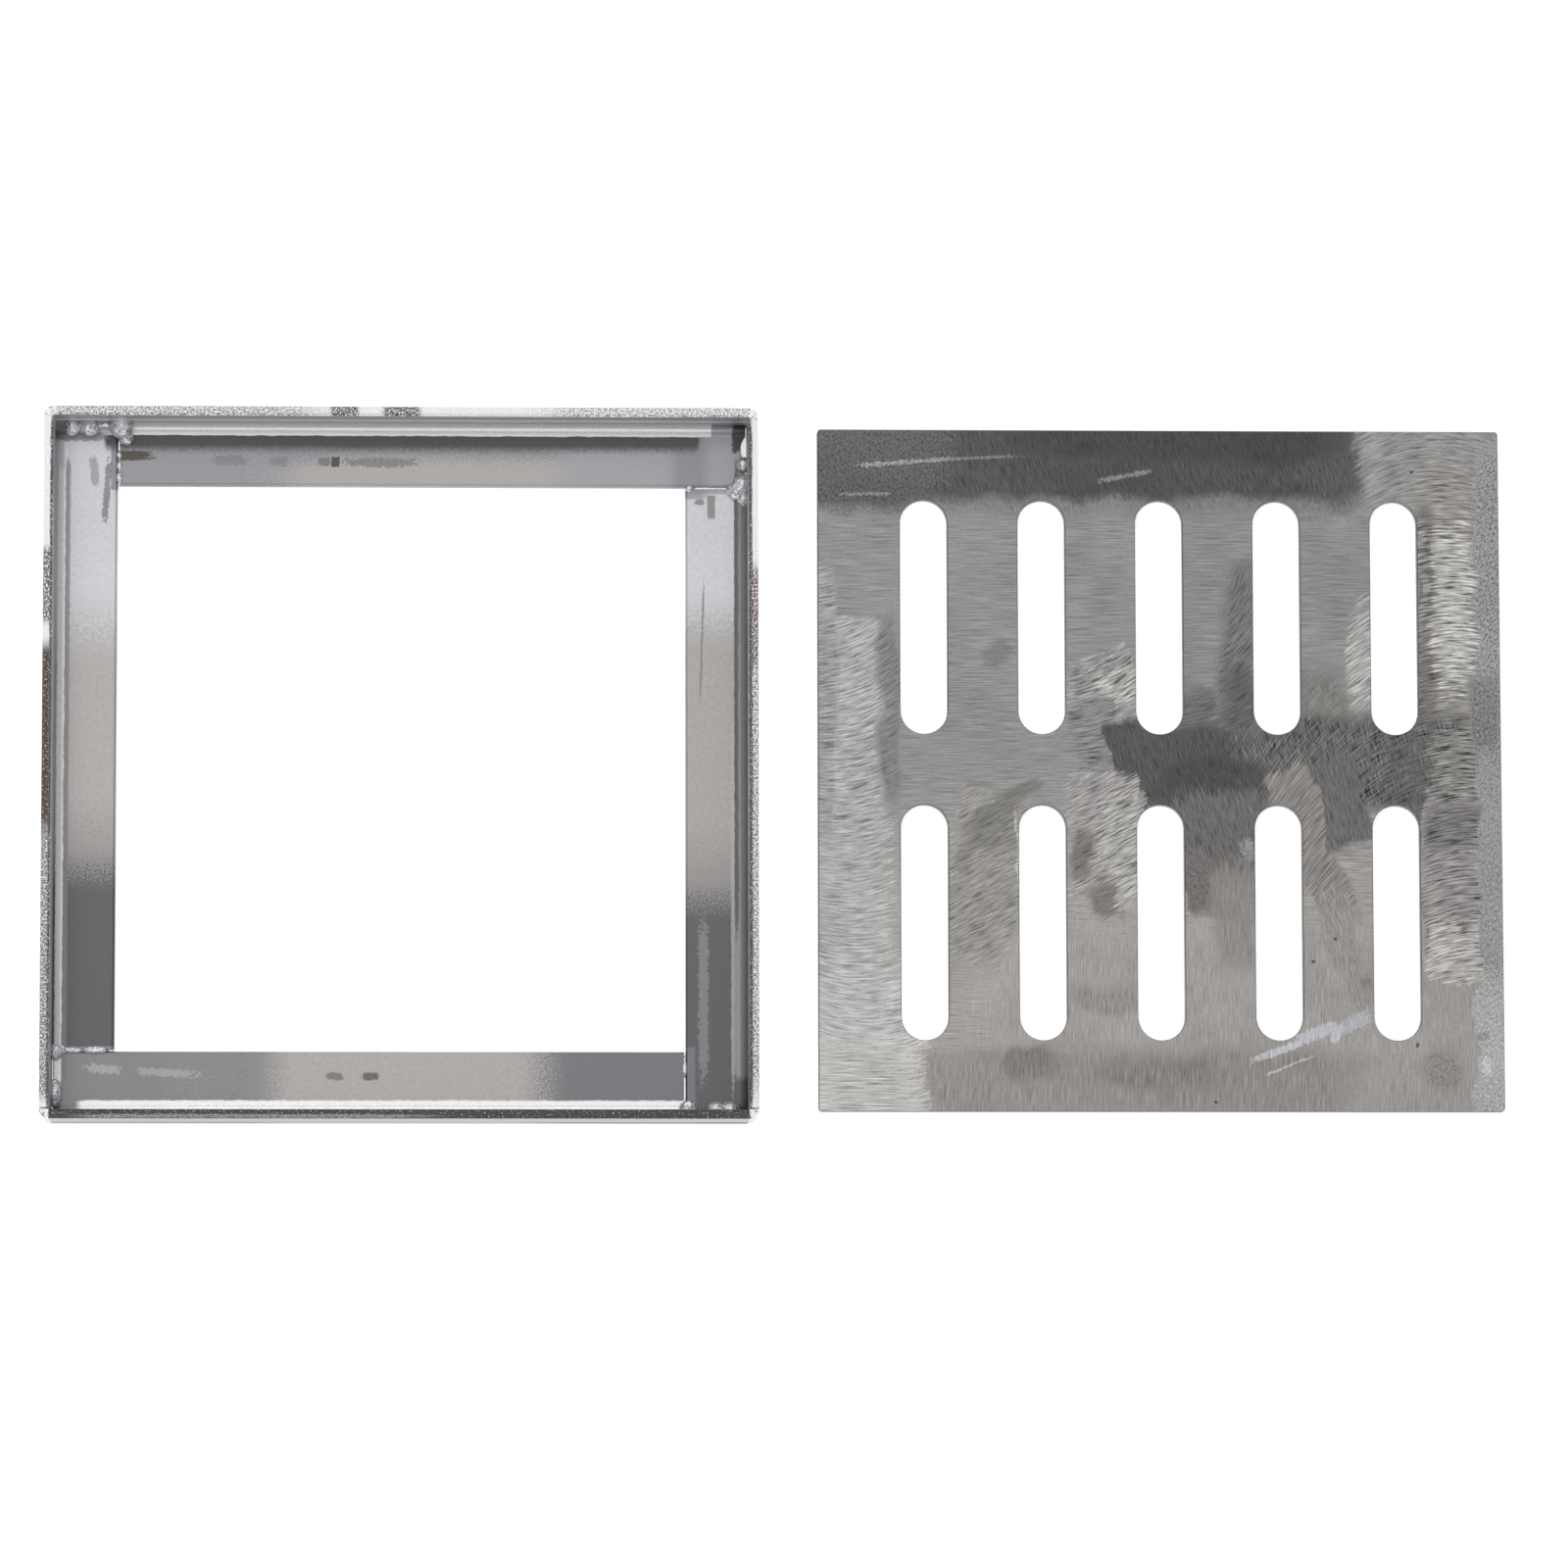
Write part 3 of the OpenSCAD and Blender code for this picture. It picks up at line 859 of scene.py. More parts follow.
FRAME_PATCHES = (
    # Broad fields of the spray, thick and pale or thin and dark; on the back bar the cool grey of the
    # spray is darkened as a painted dim reflection
    Patch("left bar, warm", (-135, -35), (40, 190), SILVER_WARM, soft=(1, 1, 4, 60), teeth=0.7),
    Patch("left bar, thinning", (-135, -86), (34, 124), display(142, 139, 138),
          soft=(1, 1, 4, 40), grain=Stroke.DUST, contrast=1.0, teeth=2.0, strength=0.7),
    Patch("left bar, bare", (-135, -97), (34, 106), display(98, 98, 100), soft=(1, 1, 4, 26),
          grain=Stroke.DUST, contrast=0.3, teeth=2.0),
    Patch("right bar, warm", (135, -42), (40, 210), display(168, 164, 161), soft=(1, 1, 2, 44),
          teeth=0.7),
    Patch("right bar, thinning", (135, -96), (34, 124), display(142, 139, 138),
          soft=(1, 1, 2, 40), grain=Stroke.DUST, contrast=1.0, teeth=2.0, strength=0.7),
    Patch("right bar, bare", (136, -106), (34, 100), display(99, 99, 101), soft=(4, 1, 2, 26),
          grain=Stroke.DUST, contrast=0.35, teeth=2.0),
    # painted dim reflection: the back bar's cool spray made darker
    Patch("back bar", (12, 135), (270, 34), DIM_REFLECTION_GREY, soft=(1, 1, 1, 1), grain=Stroke.DUST,
          contrast=0.6, teeth=0.2),
    Patch("back bar, pale lower edge", (30, 124), (170, 16), display(172, 168, 165),
          soft=(60, 60, 1, 12), grain=Stroke.DUST, contrast=0.6, teeth=1.0, strength=0.9),
    Patch("back bar, cool right", (106, 132), (78, 30), display(158, 158, 163),
          soft=(30, 8, 1, 8), grain=Stroke.DUST, contrast=0.6, teeth=0.9, strength=0.8),
    Patch("back bar, dark right end", (122, 132), (14, 34), display(134, 134, 137),
          soft=(10, 10, 1, 1), grain=Stroke.DUST, contrast=0.6, teeth=1.0, strength=0.7),
    Patch("back bar, speckled left", (-86, 126), (70, 16), display(152, 152, 157),
          soft=(6, 26, 1, 6), grain=Stroke.DUST, contrast=0.9, teeth=1.2, strength=0.6),
    Patch("front bar", (0, -135), (240, 34), SILVER_WARM, soft=(1, 1, 1, 1), teeth=0.2),
    Patch("front bar, bare left", (-104, -135), (96, 34), display(134, 134, 136),
          soft=(1, 34, 1, 1), grain=Stroke.DUST, contrast=0.5, teeth=1.5),
    Patch("front bar, speckled left", (-74, -135), (44, 34), display(140, 138, 137),
          soft=(12, 20, 1, 1), grain=Stroke.DUST, contrast=1.2, teeth=2.4, strength=0.7),
    Patch("front bar, bare right", (92, -135), (64, 34), display(122, 122, 125),
          soft=(34, 2, 1, 1), grain=Stroke.DUST, contrast=0.35, teeth=1.5),
    # Painted highlights and painted shade along the root of each angle
    # painted shade under the back root
    Patch("shade under the back root", (0, 138.6), (252, 6), ROOT_SHADE, soft=(3, 3, 8, 0.6),
          teeth=0.2),
    # painted highlight on the back root
    Patch("back root", (0, 144.4), (262, 5.6), display(214, 213, 215), soft=(1, 1, 0.6, 1),
          teeth=0.2),
    # painted highlight on the front root
    Patch("front root", (-6, -143.2), (258, 5.2), ROOT_HIGHLIGHT, soft=(6, 6, 0.6, 1.4), teeth=0.2),
    # painted highlight on the left root
    Patch("left root", (-143.6, -4), (3.0, 262), display(222, 220, 220), soft=(1, 1, 6, 6),
          teeth=0.3),
    Patch("shade beside the left root", (-141, 0), (2.0, 262), display(128, 127, 128),
          soft=(1, 1.4, 6, 6), teeth=0.3, strength=0.8),
    # painted shade on the right root
    Patch("right root", (143.4, 0), (5.4, 262), display(146, 143, 144), soft=(1.4, 1, 6, 6),
          teeth=0.3),
    # painted highlight beside the right root
    Patch("bright line beside the right root", (140.0, -60), (1.6, 150), display(176, 175, 177),
          soft=(1, 1, 30, 60), teeth=0.5, strength=0.7),
    # painted shadow in the right root
    Patch("dark line at the right root", (141.6, 30), (1.8, 200), display(84, 82, 82),
          soft=(0.8, 0.8, 30, 20), teeth=0.5, strength=0.8),
    # Marks
    Patch("streak on the right bar", (127.5, -98), (4, 66), display(136, 136, 138),
          soft=(2, 2, 16, 16), teeth=2.2, strength=0.8),
    Patch("smear on the front bar", (-124.5, -127.5), (14, 3.4), display(172, 172, 174), turn=-6,
          soft=(5, 5, 2, 2), teeth=2.6, strength=0.7),
    Patch("second smear", (-97.5, -129), (24, 3.2), display(168, 167, 168), turn=-3,
          soft=(4, 14, 1.5, 1.5), teeth=2.6, strength=0.7),
    Patch("rounded notch mark", (131, 111.5), (3.4, 10), display(142, 143, 140),
          soft=(0.8, 0.8, 2.4, 0.6), teeth=0.3),
    Patch("dark fleck", (126, 113.8), (4, 2.4), display(122, 122, 124), soft=(1.4, 1.4, 1, 1),
          teeth=1.6, strength=0.8),
    Patch("burnt streak", (-112.6, 132.8), (13, 4.2), display(90, 83, 78), soft=(0.6, 11, 1.6, 1.6),
          teeth=0.9),
    Patch("grey rub on the left bar", (-130, 126), (3.4, 12), display(150, 150, 152), turn=6,
          soft=(1.4, 1.4, 3, 3), teeth=2.4, strength=0.8),
    Patch("scratch column on the left bar", (-124.6, 118), (2.4, 26), display(120, 119, 121),
          turn=-4, soft=(1, 1, 5, 8), teeth=3.2, strength=0.8),
    Patch("dull mark, back bar", (-33, 130.4), (5, 3.4), display(120, 117, 116),
          soft=(2, 1, 1.2, 1.2), teeth=0.9, strength=0.9),
    Patch("dark mark beside it", (-28.2, 130.4), (3.4, 4.2), display(86, 84, 84),
          soft=(1, 1, 1, 1), teeth=0.9),
    Patch("faded marks, back bar", (-9, 130.2), (28, 3.6), display(124, 121, 119),
          soft=(8, 12, 1.4, 1.4), teeth=3.6, strength=0.8),
    Patch("rub, back bar", (-73, 131), (14, 4), display(126, 124, 127), soft=(5, 5, 2, 2),
          teeth=1.8, strength=0.7),
    Patch("rub beside it", (-52, 130.6), (8, 3.6), display(128, 125, 128), soft=(3, 3, 1.6, 1.6),
          teeth=1.8, strength=0.7),
    Patch("smudge, front bar", (-27.5, -130.4), (7, 3), display(116, 112, 110),
          soft=(2.5, 2.5, 1.5, 1.5), teeth=1.2, strength=0.8),
    Patch("second smudge, front bar", (-12.5, -130.4), (7, 3), display(98, 95, 93),
          soft=(2.5, 2.5, 1.5, 1.5), teeth=1.2, strength=0.9),
    Patch("scratch on the right bar", (127, 54), (0.9, 50), display(132, 129, 128), turn=-2,
          soft=(0.6, 0.6, 16, 16), teeth=1.4, strength=0.8),
    Patch("shade under the left drops", (-137, 141), (24, 4), display(122, 121, 124),
          soft=(2, 8, 2.4, 1), teeth=0.8, strength=0.8),
    # darker spot in the inner back right corner
    Patch("burn in the back right corner", (143, 141), (6, 12), display(60, 58, 60),
          soft=(2, 2, 3, 3), teeth=1.4, strength=0.9),
)

RIM_BASE = Patch("leg tops", (0, 0), (320, 320), display(226, 225, 226), grain=Stroke.DUST,
                 contrast=0.9)

RIM_PATCHES = (
    Patch("back, mottled left", (-90, 148), (110, 6), display(132, 131, 132), soft=(4, 40, 1, 1),
          cover=0.5),
    Patch("back, right", (105, 148), (90, 6), display(138, 137, 138), soft=(40, 2, 1, 1),
          cover=0.45),
    Patch("back, crackle", (-24, 148), (12, 6), display(66, 64, 64), soft=(4, 4, 1, 1),
          cover=0.6),
    Patch("back, second crackle", (0, 148), (16, 6), display(70, 68, 68), soft=(5, 5, 1, 1),
          cover=0.6),
    # painted shade: the front leg's top is darkened where its outer face lies in shadow
    Patch("front", (0, -148), (300, 6), display(70, 68, 67), soft=(14, 14, 1, 1), cover=0.9),
    Patch("front, bright run", (-60, -149), (150, 1.6), display(170, 169, 170),
          soft=(30, 50, 0.8, 0.8), cover=0.5),
    Patch("left, speckled", (-148, 74), (6, 32), display(88, 84, 82), soft=(1, 1, 8, 8),
          cover=0.6),
    Patch("left, rust", (-148, 10), (6, 78), display(84, 68, 62), soft=(1, 1, 14, 14),
          cover=0.85),
    Patch("left, low", (-148, -84), (6, 116), display(116, 114, 114), soft=(1, 1, 10, 14),
          cover=0.6),
    # painted shade along the inner edge of the left leg's top
    Patch("left, inner line", (-146.7, 0), (1.2, 290), display(110, 108, 108),
          soft=(0.8, 0.4, 10, 10), cover=0.7),
    Patch("right, rust", (148, 62), (6, 42), display(98, 74, 68), soft=(1, 1, 12, 12),
          cover=0.6),
    Patch("right, streaks", (148, -40), (6, 200), display(104, 102, 103), soft=(1, 1, 30, 30),
          cover=0.5),
    # painted shade along the inner edge of the right leg's top
    Patch("right, inner line", (146.8, 0), (1.4, 290), display(96, 94, 95), soft=(0.4, 0.8, 10, 10),
          cover=0.8),
)


@dataclass(frozen=True)
class GroundSteel:
    """Finish of the cover: bare steel with the strokes of a flap disc and dark cut edges.

    A wobble is the size of the uneven places and their widest shift. cloud is the size of the
    slow changes in tone and drift their depth. grit is how much the fine mottling shows, and
    bite how much the strokes do. edge_fade is how far below the top the cut edge's tone starts
    and is full.
    """

    name: str = "ground_steel"
    centre: Point = (163.0, 0.0)
    metallic: float = 0.9
    roughness: float = 0.42
    roughness_grain: float = 0.15
    cut_edge: Colour = display(112, 110, 108)
    edge_grit: float = 1.6
    edge_fade: Point = (0.05, 0.45)
    top: float = 5.0
    cloud: float = 34.0
    drift: float = 0.3
    grit: float = 0.35
    bite: float = 1.3
    broad_wobble: Point = (22.0, 9.0)
    tight_wobble: Point = (4.0, 2.2)
    scratch_wobble: Point = (3.0, 1.2)
    relief: float = 0.25
    relief_depth: float = 0.1

    def build(self, label: str, low: Point, high: Point) -> bpy.types.Material:
        """Builds the material of one zone of the plate.

        Args:
            label: End of the material's name.
            low: Lower left corner of the zone on the plate, in millimetres.
            high: Its upper right corner.

        Returns:
            The finished material.
        """
        make = FinishBuilder(f"{self.name}_{label}")
        plain = make.millimetres(self.centre)
        uneven = make.wobble(make.wobble(plain, *self.broad_wobble), *self.tight_wobble)
        rough = make.grain(plain, Stroke.MOTTLE)
        cloud = make.noise(plain, detail=3, rough=0.6, scale=1 / self.cloud, flat=True)
        drift = make.math("MULTIPLY", make.math("SUBTRACT", cloud.outputs["Fac"], 0.5), self.drift)
        drift = make.math("MULTIPLY_ADD", rough, self.grit, drift)
        places = {"plain": plain, "uneven": uneven}
        colour, depth = make.lay(places, COVER_BASE, near(COVER_PATCHES, low, high))
        marks = near(COVER_SCRATCHES, low, high)
        fine = make.wobble(plain, *self.scratch_wobble) if marks else plain
        for mark in marks:
            colour = make.tint(make.box(fine, mark, rough), colour, mark.tone)
        colour = make.shade(colour, make.math("MULTIPLY_ADD", depth, self.bite, drift))
        height = make.split(plain)[2]
        wall = make.fade(height, *(self.top - below for below in self.edge_fade))
        side = make.shade(self.cut_edge, make.math("MULTIPLY", rough, self.edge_grit))
        make.feed(make.shader.inputs["Base Color"], make.tint(wall, colour, side))
        make.shader.inputs["Metallic"].default_value = self.metallic
        roughness = make.math("MULTIPLY_ADD", depth, self.roughness_grain, self.roughness)
        make.feed(make.shader.inputs["Roughness"], roughness)
        relief = make.bump(make.grain(plain, Stroke.BRUSHED), self.relief, self.relief_depth)
        make.feed(make.shader.inputs["Normal"], relief)
        return make.material


@dataclass(frozen=True)
class SilverSpray:
    """Finish of the angle bars: silver sprayed thick in places and thin in others.

    face_rise is the height where the flange gives way to the legs' inner faces, and back_rise is
    where, on the plan, the back leg starts. line_rise and line_fall are the heights that a painted
    highlight, a pale line on the back leg, lies between. top_rise is how far below the leg's top
    its tone starts and is full.
    """

    name: str = "silver_spray"
    centre: Point = (-158.0, 0.0)
    metallic: float = 0.7
    roughness: float = 0.4
    leg_top: float = 30.0
    top_rise: Point = (1.1, 0.5)
    face_rise: Point = (9.0, 10.0)
    back_rise: Point = (140.0, 144.0)
    # painted highlight: heights of the pale band on the back leg's inner face
    line_rise: Point = (14.0, 16.0)
    line_fall: Point = (22.0, 19.0)
    wobble: Point = (5.0, 0.7)
    reach: float = 2.0
    dusting: float = 0.8
    relief: float = 0.35
    relief_depth: float = 0.2
    inner_face: Colour = display(182, 180, 181)
    # painted highlight on the back leg's inner face
    inner_line: Colour = display(232, 232, 234)

    def build(self, label: str, low: Point, high: Point) -> bpy.types.Material:
        """Builds the material of one bar.

        Args:
            label: End of the material's name.
            low: Lower left corner of the bar on the frame, in millimetres.
            high: Its upper right corner.

        Returns:
            The finished material.
        """
        make = FinishBuilder(f"{self.name}_{label}")
        plain = make.millimetres(self.centre)
        places = {"plain": plain, "uneven": make.wobble(plain, *self.wobble)}
        _, back, height = make.split(plain)
        dust = make.grain(plain, Stroke.DUST)
        face = make.fade(height, *self.face_rise)
        at_back = make.fade(back, *self.back_rise)
        # painted highlight: a pale band across the inner face of the back leg
        lines = make.math("MULTIPLY", self.lines(make, height), at_back)
        inner = make.tint(lines, self.inner_face, self.inner_line)
        inner = make.shade(inner, make.math("MULTIPLY", dust, self.dusting))
        top = make.fade(height, *(self.leg_top - below for below in self.top_rise))
        colour, depth = make.lay(places, FRAME_BASE, near(FRAME_PATCHES, low, high, self.reach))
        colour = make.tint(face, make.shade(colour, depth), inner)
        rim, crackle = make.lay(places, RIM_BASE, near(RIM_PATCHES, low, high, self.reach))
        colour = make.tint(top, colour, make.shade(rim, crackle))
        make.feed(make.shader.inputs["Base Color"], colour)
        make.shader.inputs["Metallic"].default_value = self.metallic
        make.shader.inputs["Roughness"].default_value = self.roughness
        relief = make.bump(make.grain(plain, Stroke.PEEL), self.relief, self.relief_depth)
        make.feed(make.shader.inputs["Normal"], relief)
        return make.material

    def lines(self, make: FinishBuilder, height: bpy.types.NodeSocket) -> bpy.types.NodeSocket:
        """Gives the painted highlight, a pale line that runs along the inner face of the back leg.

        Args:
            make: Builder of the material.
            height: Height above the ground, in millimetres.

        Returns:
            How much of the line shows.
        """
        rise = make.fade(height, *self.line_rise)
        fall = make.fade(height, *self.line_fall)
        return make.math("MULTIPLY", rise, fall)


@dataclass(frozen=True)
class WeldMetal:
    """Finish of the welds: lumps of steel under the same silver, painted paler than the bars as a painted
    highlight, with darker spots at random.
    """

    name: str = "weld_metal"
    # painted highlight: the weld tone is paler than the sprayed bars
    colour: Colour = display(228, 228, 232)
    hollow: Colour = display(104, 102, 104)
    metallic: float = 0.6
    roughness: float = 0.3
    spots: float = 0.7
    hollow_rise: Point = (0.5, 0.66)
    relief: float = 0.4
    relief_depth: float = 0.3

    def build(self) -> bpy.types.Material:
        """Builds the material.

        Returns:
            The finished material.
        """
        make = FinishBuilder(self.name)
        plain = make.millimetres((0.0, 0.0))
        spots = make.noise(plain, detail=4, rough=0.65, scale=self.spots).outputs["Fac"]
        share = make.fade(spots, *self.hollow_rise)
        colour = make.tint(share, self.colour, self.hollow)
        make.feed(make.shader.inputs["Base Color"], colour)
        make.shader.inputs["Metallic"].default_value = self.metallic
        make.shader.inputs["Roughness"].default_value = self.roughness
        relief = make.bump(spots, self.relief, self.relief_depth)
        make.feed(make.shader.inputs["Normal"], relief)
        return make.material


@dataclass(frozen=True)
class Lump:
    """One drop of weld in a corner's own coordinates: where it lies, its three radii and its turn."""

    at: tuple[float, float, float]
    radii: tuple[float, float, float]
    turn: float = 0.0


@dataclass
class AngleFrame:
    """The square frame with its welds.

    A corner's own coordinates start at its outer corner, with the bar that runs through along X.
    voxel and ripple are the fineness and the height of a lump's skin, and the fill's own values
    are for a seam, which lies flat in its gap. fill_sink is how far the seam lies below the
    flanges' top, on both sides of its middle.
    """

    width: float = 300.0
    angle_width: float = 30.0
    thickness: float = 4.0
    seam: float = 0.8
    centre_x: float = -158.0
    voxel: float = 0.35
    fill_voxel: float = 0.2
    ripple: float = 0.9
    fill_ripple: float = 0.2
    ripple_size: float = 2.2
    fill_sink: float = 0.2
    flow: float = 0.5
    flow_rounds: int = 2
    tacks: dict[Corner, tuple[Lump, ...]] = field(
        default_factory=lambda: {
            Corner.FRONT_LEFT: (
                Lump((5.2, 12.5, 5.6), (3.4, 5.9, 4.2)),
                Lump((5.4, 29.5, 5.0), (3.1, 3.5, 3.3)),
            ),
            Corner.FRONT_RIGHT: (
                Lump((5.4, 11.5, 6.2), (3.7, 4.2, 5.0)),
                Lump((5.6, 17.0, 5.2), (3.4, 4.0, 4.0)),
                Lump((5.6, 29.0, 5.2), (3.8, 4.2, 4.0)),
            ),
            Corner.BACK_RIGHT: (
                Lump((5.4, 20.5, 6.0), (3.1, 3.3, 4.0)),
                Lump((6.0, 29.0, 6.6), (4.7, 4.0, 5.2), 20),
                Lump((9.0, 32.0, 5.0), (4.0, 3.3, 3.5), -30),
                Lump((5.4, 35.0, 5.6), (2.8, 3.3, 3.8)),
            ),
            Corner.BACK_LEFT: (
                Lump((5.8, 10.8, 9.0), (3.8, 3.4, 5.2)),
                Lump((5.8, 17.8, 8.4), (3.8, 4.6, 5.0)),
                Lump((5.8, 31.4, 9.4), (5.0, 5.0, 6.6)),
                Lump((9.4, 33.0, 5.6), (4.2, 3.3, 3.8), 30),
                Lump((4.9, 25.0, 9.0), (1.4, 6.4, 1.7)),
            ),
        }
    )
    beads: dict[Corner, tuple[Lump, ...]] = field(
        default_factory=lambda: {
            Corner.FRONT_LEFT: (
                Lump((12.0, 30.4, 3.9), (5.0, 1.2, 0.9)),
                Lump((22.0, 30.5, 3.9), (5.4, 1.7, 1.3)),
                Lump((7.6, 30.6, 4.0), (2.6, 2.0, 1.8)),
            ),
            Corner.FRONT_RIGHT: (Lump((23.0, 30.4, 3.8), (3.6, 1.0, 0.7)),),
            Corner.BACK_RIGHT: (Lump((28.2, 30.4, 3.9), (1.7, 1.7, 1.3)),),
            Corner.BACK_LEFT: (
                Lump((17.0, 30.4, 3.9), (1.6, 1.2, 0.9)),
                Lump((21.5, 30.5, 3.9), (2.0, 1.4, 1.1)),
                Lump((26.5, 30.6, 3.9), (2.4, 1.5, 1.2)),
            ),
        }
    )

    def to_world(self, corner: Corner, point: Sequence[float]) -> Vector:
        """Takes a point from a corner's own coordinates to the object's.

        Args:
            corner: The corner.
            point: The point, in millimetres.

        Returns:
            The point on the object, in metres.
        """
        half = self.width / 2
        turned = Matrix.Rotation(math.radians(90 * corner.value), 3, "Z") @ Vector(
            (point[0] - half, point[1] - half, point[2])
        )
        return (turned + Vector((self.centre_x, 0, 0))) * MM

    def build(self, spray: SilverSpray, weld: bpy.types.Material) -> None:
        """Dresses the bars and builds the welds over their plain nodes.

        Args:
            spray: Finish of the bars.
            weld: Material of the welds.
        """
        for side in ("front", "right", "back", "left"):
            low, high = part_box(f"bar_{side}")
            spots = [(x / MM - self.centre_x, y / MM) for x, y in (low[:2], high[:2])]
            dress(f"bar_{side}", spray.build(side, *spots))
        for corner in Corner:
            self.build_tacks(corner, weld)
            self.build_seam(corner, weld)
            dress(f"corner_weld_{corner.label}", weld)

    def build_tacks(self, corner: Corner, weld: bpy.types.Material) -> None:
        """Builds the lumps that hold a flange's end to the leg it meets.

        Args:
            corner: The corner.
            weld: Material of the welds.
        """
        name = f"tack_welds_{corner.label}"
        piece = self.melt(f"detailed_{name}", corner, self.tacks[corner])
        finish_piece(piece, weld, name)

    def build_seam(self, corner: Corner, weld: bpy.types.Material) -> None:
        """Builds the weld in the gap between two flanges, with the beads on it.

        Args:
            corner: The corner.
            weld: Material of the welds.
        """
        name = f"seam_weld_{corner.label}"
        middle = (self.angle_width + self.thickness) / 2
        fill = Lump(
            (middle, self.angle_width + self.seam / 2, self.thickness / 2),
            ((self.angle_width - self.thickness) / 2, self.seam / 2, self.thickness / 2 - self.fill_sink),
        )
        piece = self.melt(f"detailed_{name}", corner, self.beads[corner], fill)
        finish_piece(piece, weld, name)

    def settle(self, piece: bpy.types.Object, corner: Corner, lump: Lump) -> bpy.types.Object:
        """Stretches, turns and places a shape of radius 1 as a drop lies.

        Args:
            piece: The shape.
            corner: The corner that the drop lies in.
            lump: The drop.

        Returns:
            The same piece.
        """
        turn = Matrix.Rotation(math.radians(90 * corner.value + lump.turn), 4, "Z")
        piece.matrix_world = (
            Matrix.Translation(self.to_world(corner, lump.at))
            @ turn
            @ Matrix.Diagonal((*[radius * MM for radius in lump.radii], 1.0))
        )
        return piece

    def melt(
        self, name: str, corner: Corner, lumps: Sequence[Lump], fill: Optional[Lump] = None
    ) -> bpy.types.Object:
        """Runs drops of weld together into one rough skin.

        Args:
            name: Name of the new piece.
            corner: The corner that the drops lie in.
            lumps: The drops.
            fill: A straight block under the drops, whose radii are its half sizes.

        Returns:
            The piece, with its place in its mesh.
        """
        drops = []
        for lump in lumps:
            select_none()
            bpy.ops.mesh.primitive_ico_sphere_add(subdivisions=4, radius=1.0)
            drops.append(self.settle(bpy.context.object, corner, lump))
        if fill is not None:
            select_none()
            bpy.ops.mesh.primitive_cube_add(size=2.0)
            drops.append(self.settle(bpy.context.object, corner, fill))
        piece = join(drops, name)
        remesh = piece.modifiers.new("melt", "REMESH")
        remesh.mode = "VOXEL"
        remesh.voxel_size = (self.voxel if fill is None else self.fill_voxel) * MM
        remesh.use_smooth_shade = True
        apply_modifier(piece, remesh)
        texture = bpy.data.textures.new(f"{name}_ripples", "CLOUDS")
        texture.noise_scale = self.ripple_size * MM
        ripple = piece.modifiers.new("ripples", "DISPLACE")
        ripple.texture = texture
        ripple.texture_coords = "GLOBAL"
        ripple.strength = (self.ripple if fill is None else self.fill_ripple) * MM
        ripple.mid_level = 0.5
        apply_modifier(piece, ripple)
        smooth = piece.modifiers.new("flow", "SMOOTH")
        smooth.factor = self.flow
        smooth.iterations = self.flow_rounds
        apply_modifier(piece, smooth)
        return piece


@dataclass
class CoverPlate:
    """The slotted cover plate, lying beside the frame.

    Its faces are cut into zones, each with its own material, so that the renderer works out only
    the patches near each place. cuts are the lines between the zones, from the plate's middle.
    """

    node: str = "cover_plate"
    centre: Point = (163.0, 0.0)
    half: float = 145.0
    cuts: tuple[float, ...] = (-72.0, 0.0, 72.0)
    merge: float = 0.001

    def build(self, finish: GroundSteel) -> None:
        """Copies the plate, cuts it into zones and dresses them.

        Args:
            finish: Finish of the plate.
        """
        plate = frame["nodes"][self.node]
        piece = plate.copy()
        piece.data = plate.data.copy()
        piece.name = f"detailed_{self.node}"
        bpy.context.scene.collection.objects.link(piece)
        self.close(piece)
        for axis in (0, 1):
            for cut in self.cuts:
                self.slice(piece, axis, cut)
        self.dress_zones(piece, finish)
        finish_piece(piece, None, self.node)

    def dress_zones(self, piece: bpy.types.Object, finish: GroundSteel) -> None:
        """Gives each zone its material.

        Args:
            piece: The plate, cut into zones.
            finish: Finish of the plate.
        """
        borders = (-self.half, *self.cuts, self.half)
        steps = range(len(self.cuts) + 1)
        zones = [(column, row) for row in steps for column in steps]
        piece.data.materials.clear()
        for column, row in zones:
            low = (borders[column], borders[row])
            high = (borders[column + 1], borders[row + 1])
            piece.data.materials.append(finish.build(f"{column}_{row}", low, high))
        for face in piece.data.polygons:
            spot = piece.matrix_world @ face.center
            across = bisect_left(self.cuts, spot.x / MM - self.centre[0])
            up = bisect_left(self.cuts, spot.y / MM - self.centre[1])
            face.material_index = zones.index((across, up))

    def close(self, piece: bpy.types.Object) -> None:
        """Merges the loose triangles that a node's mesh comes as.

        Args:
            piece: A copy of the plate.
        """
        select_only(piece)
        bpy.ops.object.mode_set(mode="EDIT")
        bpy.ops.mesh.select_all(action="SELECT")
        bpy.ops.mesh.remove_doubles(threshold=self.merge * MM)
        bpy.ops.object.mode_set(mode="OBJECT")

    def slice(self, piece: bpy.types.Object, axis: int, cut: float) -> None:
        """Cuts the faces along one straight line on the plan, without parting the mesh.

        Args:
            piece: The plate.
            axis: 0 for a line across x, 1 for a line across y.
            cut: Where the line lies, in millimetres from the plate's middle.
        """
        place, normal = [0.0, 0.0, 0.0], [0.0, 0.0, 0.0]
        place[axis] = (self.centre[axis] + cut) * MM
        normal[axis] = 1.0
        select_only(piece)
        bpy.ops.object.mode_set(mode="EDIT")
        bpy.ops.mesh.select_all(action="SELECT")
        bpy.ops.mesh.bisect(plane_co=place, plane_no=normal)
        bpy.ops.object.mode_set(mode="OBJECT")


@dataclass(frozen=True)
class Lamp:
    """One rectangular lamp: where it hangs and its sides, in metres, and its power in watts."""

    name: str
    place: tuple[float, float, float]
    size: Point
    watts: float


